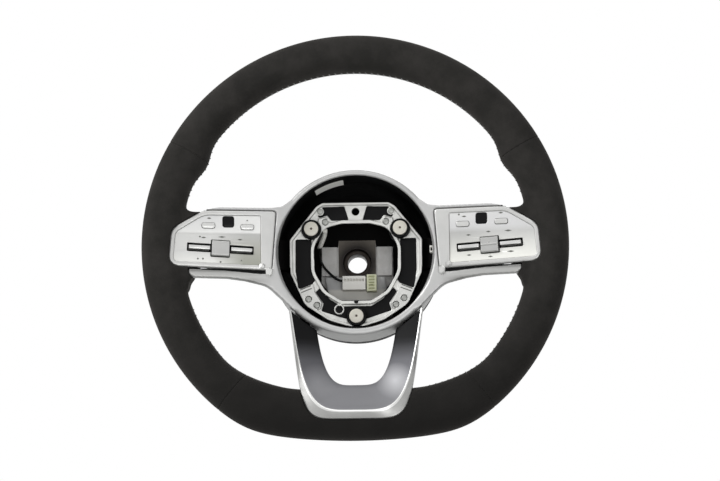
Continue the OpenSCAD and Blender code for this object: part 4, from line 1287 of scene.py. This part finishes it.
def middle_of(node):
    """Middle in X and Z and half the width of a round CAD node, in millimetres."""
    places = [vertex.co / MM for vertex in frame["nodes"][node].data.vertices]
    left, right = min(p.x for p in places), max(p.x for p in places)
    low, high = min(p.z for p in places), max(p.z for p in places)
    return (left + right) / 2, (low + high) / 2, (right - left) / 2


def cut_pocket(plate, corners, collar, *lands):
    """Cuts a pocket through the plate, but leaves the opening's collar and the lands that stand in it."""
    pocket = prism("pocket", rounded(corners), *THROUGH)
    for land in lands:
        cut(pocket, land)
    cut(pocket, collar, keep=True)
    cut(plate, pocket)


def pressed_plate():
    """The contact plate: a floor with raised rims and pads, its opening, pockets and screw seats."""
    tray = prism("tray", rounded(moved_in(HUB_OUTLINE, TRAY_RIM)), *TRAY_DEPTHS)
    collar = prism("collar", rounded(moved_in(OPENING, -COLLAR_WIDTH)), *STANDING)
    cut(tray, collar, keep=True)
    cut(tray, prism("ring_wall", disc(*RING_HOLE, RING_WALL), *IN_TRAY))
    plate = prism("contact_plate_piece", rounded(HUB_OUTLINE), *PLATE_DEPTHS)
    for side in SIDES.values():
        for pad in (LOW_PAD, TOP_PAD):
            cut(tray, prism("pad", rounded(mirrored(pad, side)), *IN_TRAY))
    cut(plate, tray)
    screw_x, screw_z = PLATE_SCREWS[0]
    for side in SIDES.values():
        screw_land = prism("screw_land", disc(screw_x * side, screw_z, SCREW_LAND), *STANDING)
        cut_pocket(plate, mirrored(TOP_POCKET, side), collar, screw_land)
        cut_pocket(plate, mirrored(SIDE_POCKET, side), collar)
        for x, z in PLATE_SCREWS:
            cut(plate, prism("screw_seat", disc(x * side, z, SCREW_SEAT), *SEAT_DEPTHS))
    cut_pocket(plate, LOW_POCKET, collar, prism("ring_land", disc(*RING_HOLE, RING_WALL), *STANDING))
    holes = [rounded(OPENING), NOTCH, TAB_FOOT, disc(*RING_HOLE, HOLE_RADIUS), disc(*TOP_HOLE, HOLE_RADIUS)]
    for name in HORNS:
        x, z, radius = middle_of("horn_cup_" + name)
        holes.append(disc(x, z, radius + CUP_GAP, 48))
    for outline in holes:
        cut(plate, prism("hole", outline, *THROUGH))
    bpy.data.objects.remove(collar)
    return plate


def pad_grooves():
    """Two dark grooves across each lower pad of the contact plate."""
    grooves = []
    step_x, step_z = GROOVE_STEP
    for side in SIDES.values():
        for i in (0, 1):
            outline = [((x - step_x * i) * side, z - step_z * i) for x, z in GROOVE]
            grooves.append(prism("groove", outline, *GROOVE_DEPTHS))
    only(*grooves)
    bpy.ops.object.join()
    dress(named("pad_grooves"), "print")


STRIP_ENDS = (99, 122)
STRIP_STEPS = 12
STRIP_SECTION = [(67.3, -79), (64.4, -62), (64.0, -62), (66.9, -79)]


def label_strip():
    """The blank strip on the liner's wall, whose rear edge stands a little off the wall."""
    sections = []
    for i in range(STRIP_STEPS + 1):
        angle = math.radians(STRIP_ENDS[0] + (STRIP_ENDS[1] - STRIP_ENDS[0]) * i / STRIP_STEPS)
        sections.append([Vector((r * math.cos(angle), y, r * math.sin(angle))) * MM
                         for r, y in STRIP_SECTION])
    return loft("blank_strip_piece", sections)


DIMPLE_RADIUS = 0.95
# The lead is thicker by this much above the height where its two wires come together
LEAD_THICKER = 1.05 * MM
LEAD_JOINS = (6 * MM, 11 * MM)


def cap_dimple(name):
    """The dark moulding dimple in the middle of a horn cap, which moves with the cap."""
    x, z, _ = middle_of("horn_cap_" + name)
    front = min(vertex.co.y for vertex in frame["nodes"]["horn_cap_" + name].data.vertices) / MM
    piece = prism("cap_dimple_" + name, disc(x, z, DIMPLE_RADIUS, 20), front - 0.05, front + 0.4)
    dress(piece, "dimple", body_of_node("horn_cap_" + name))


def thick_lead():
    """The white lead, as thick in its upper part as the two wires that lie side by side there."""
    lead = copy_of("horn_lead", "horn_lead_piece")
    low, high = LEAD_JOINS
    for vertex in lead.data.vertices:
        vertex.co += vertex.normal * LEAD_THICKER * eased((vertex.co.z - low) / (high - low))
    smooth(lead, 60)
    return lead


class WHEEL_OT_hub(bpy.types.Operator):
    """Finishes the contact plate, the horn units, the plugs and the covers"""
    bl_idname = "wheel.hub"
    bl_label = "Hub and Covers"

    def execute(self, context):
        for node, (material, edge) in HUB_PIECES.items():
            softened(node, material, edge * MM, 2, 32)
        melted(pressed_plate(), "contact_plate", "zinc", 0.5, 2)
        pad_grooves()
        for name in HORNS:
            cap_dimple(name)
        stand_for(label_strip(), "paper", "blank_strip")
        stand_for(thick_lead(), "lead", "horn_lead")
        for node, material in PLAIN_NODES.items():
            for slot in frame["nodes"][node].material_slots:
                slot.material = MATERIALS[material]
        return {"FINISHED"}


# Stage

PHOTO_W, PHOTO_H = 720, 481
RING_AT = Vector((0, -84 * MM, 0))
RING_PX = (355.3, 252.0)
FLOOR_Z = -0.85
# Name, place, size and share of the key light's power
SOFT_BOXES = (
    ("key_box", (-2.3, -1.5, 1.5), (1.6, 1.6), 1.0),
    ("top_box", (0.2, -1.2, 2.3), (1.8, 1.0), 0.2),
    ("fill_box", (0.5, -2.6, -0.7), (1.2, 1.2), 0.32),
    ("rear_box", (0.3, 2.0, 1.2), (1.8, 1.2), 0.4),
)


def camera_axes(stage):
    turn, lift = stage.azimuth, stage.elevation
    back = Vector((math.sin(turn) * math.cos(lift), -math.cos(turn) * math.cos(lift), math.sin(lift)))
    right = Vector((0, 0, 1)).cross(back).normalized()
    up = back.cross(right)
    tilted_right = right * math.cos(stage.roll) - up * math.sin(stage.roll)
    tilted_up = up * math.cos(stage.roll) + right * math.sin(stage.roll)
    return tilted_right, tilted_up, back


def soft_box(name, place, size, power):
    """A soft box that shines on the hub."""
    light = bpy.data.lights.new(name, "AREA")
    light.shape = "RECTANGLE"
    light.size, light.size_y = size
    light.energy = power
    lamp = bpy.data.objects.new(name, light)
    bpy.context.scene.collection.objects.link(lamp)
    lamp.location = place
    lamp.rotation_euler = (-Vector(place)).to_track_quat("-Z", "Y").to_euler()


class WHEEL_OT_stage(bpy.types.Operator):
    """Sets the floor, the soft light and the camera"""
    bl_idname = "wheel.stage"
    bl_label = "Stage"

    def execute(self, context):
        stage = settings("wheel_stage")
        scene = bpy.context.scene
        scene.view_settings.view_transform = "Standard"
        self.place_camera(stage, scene)
        self.light_world(stage, scene)
        self.lay_floor()
        for name, place, size, share in SOFT_BOXES:
            soft_box(name, place, size, stage.key_light * share)
        return {"FINISHED"}

    def place_camera(self, stage, scene):
        right, up, back = camera_axes(stage)
        data = bpy.data.cameras.new("camera")
        data.sensor_width = 36
        data.lens = stage.lens_px * data.sensor_width / PHOTO_W
        data.clip_end = 50
        camera = bpy.data.objects.new("camera", data)
        scene.collection.objects.link(camera)
        x = (RING_PX[0] - PHOTO_W / 2) * stage.distance / stage.lens_px
        y = -(RING_PX[1] - PHOTO_H / 2) * stage.distance / stage.lens_px
        place = RING_AT + back * stage.distance - right * x - up * y
        matrix = Matrix((right, up, back)).transposed().to_4x4()
        matrix.translation = place
        camera.matrix_world = matrix
        scene.camera = camera

    def light_world(self, stage, scene):
        world = bpy.data.worlds.new("studio")
        scene.world = world
        world.use_nodes = True
        tree = world.node_tree
        tree.nodes.clear()
        path = add_node(tree, "LightPath")
        straight = add_node(tree, "Math", path["Is Camera Ray"], path["Is Transmission Ray"],
                            operation="MAXIMUM")
        seen = add_node(tree, "Math", straight, path["Is Glossy Ray"], operation="MAXIMUM")
        even = add_node(tree, "Background", "#f6f8fb", stage.sky)
        white = add_node(tree, "Background", "#ffffff", 1.0)
        add_node(tree, "OutputWorld", add_node(tree, "MixShader", seen, even, white))

    def lay_floor(self):
        bpy.ops.mesh.primitive_plane_add(size=8, location=(0, 0, FLOOR_Z))
        floor = named("floor")
        floor.data.materials.append(new_material("pale_matt_floor", Roughness=0.9, Base_Color="#eeeeec")[0])


class VIEW3D_PT_wheel(bpy.types.Panel):
    """Steps that dress the steering wheel, in order"""
    bl_label = "Steering Wheel"
    bl_idname = "VIEW3D_PT_wheel"
    bl_space_type = "VIEW_3D"
    bl_region_type = "UI"
    bl_category = "Steering Wheel"

    def draw(self, context):
        for group in GROUPS:
            box = self.layout.box()
            for key in group.bl_rna.properties.keys():
                if key not in ("rna_type", "name"):
                    box.prop(getattr(context.scene, GROUPS[group]), key)
        for step in STEPS:
            self.layout.operator(step.bl_idname)


GROUPS = {RimSettings: "wheel_rim", FinishSettings: "wheel_finish", StageSettings: "wheel_stage"}
STEPS = (WHEEL_OT_suede, WHEEL_OT_stitching, WHEEL_OT_bezel, WHEEL_OT_lower_spoke, WHEEL_OT_pods,
         WHEEL_OT_marks, WHEEL_OT_catches, WHEEL_OT_hub, WHEEL_OT_stage)
MATERIALS = {}


def register():
    for group, name in GROUPS.items():
        bpy.utils.register_class(group)
        setattr(bpy.types.Scene, name, bpy.props.PointerProperty(type=group))
    for item in STEPS + (VIEW3D_PT_wheel,):
        bpy.utils.register_class(item)


def unregister():
    for item in reversed(STEPS + (VIEW3D_PT_wheel,)):
        bpy.utils.unregister_class(item)
    for group, name in GROUPS.items():
        delattr(bpy.types.Scene, name)
        bpy.utils.unregister_class(group)


def main():
    register()
    MATERIALS.update(make_materials())
    for step in STEPS:
        group, name = step.bl_idname.split(".")
        getattr(getattr(bpy.ops, group), name)()


if __name__ == "__main__":
    main()
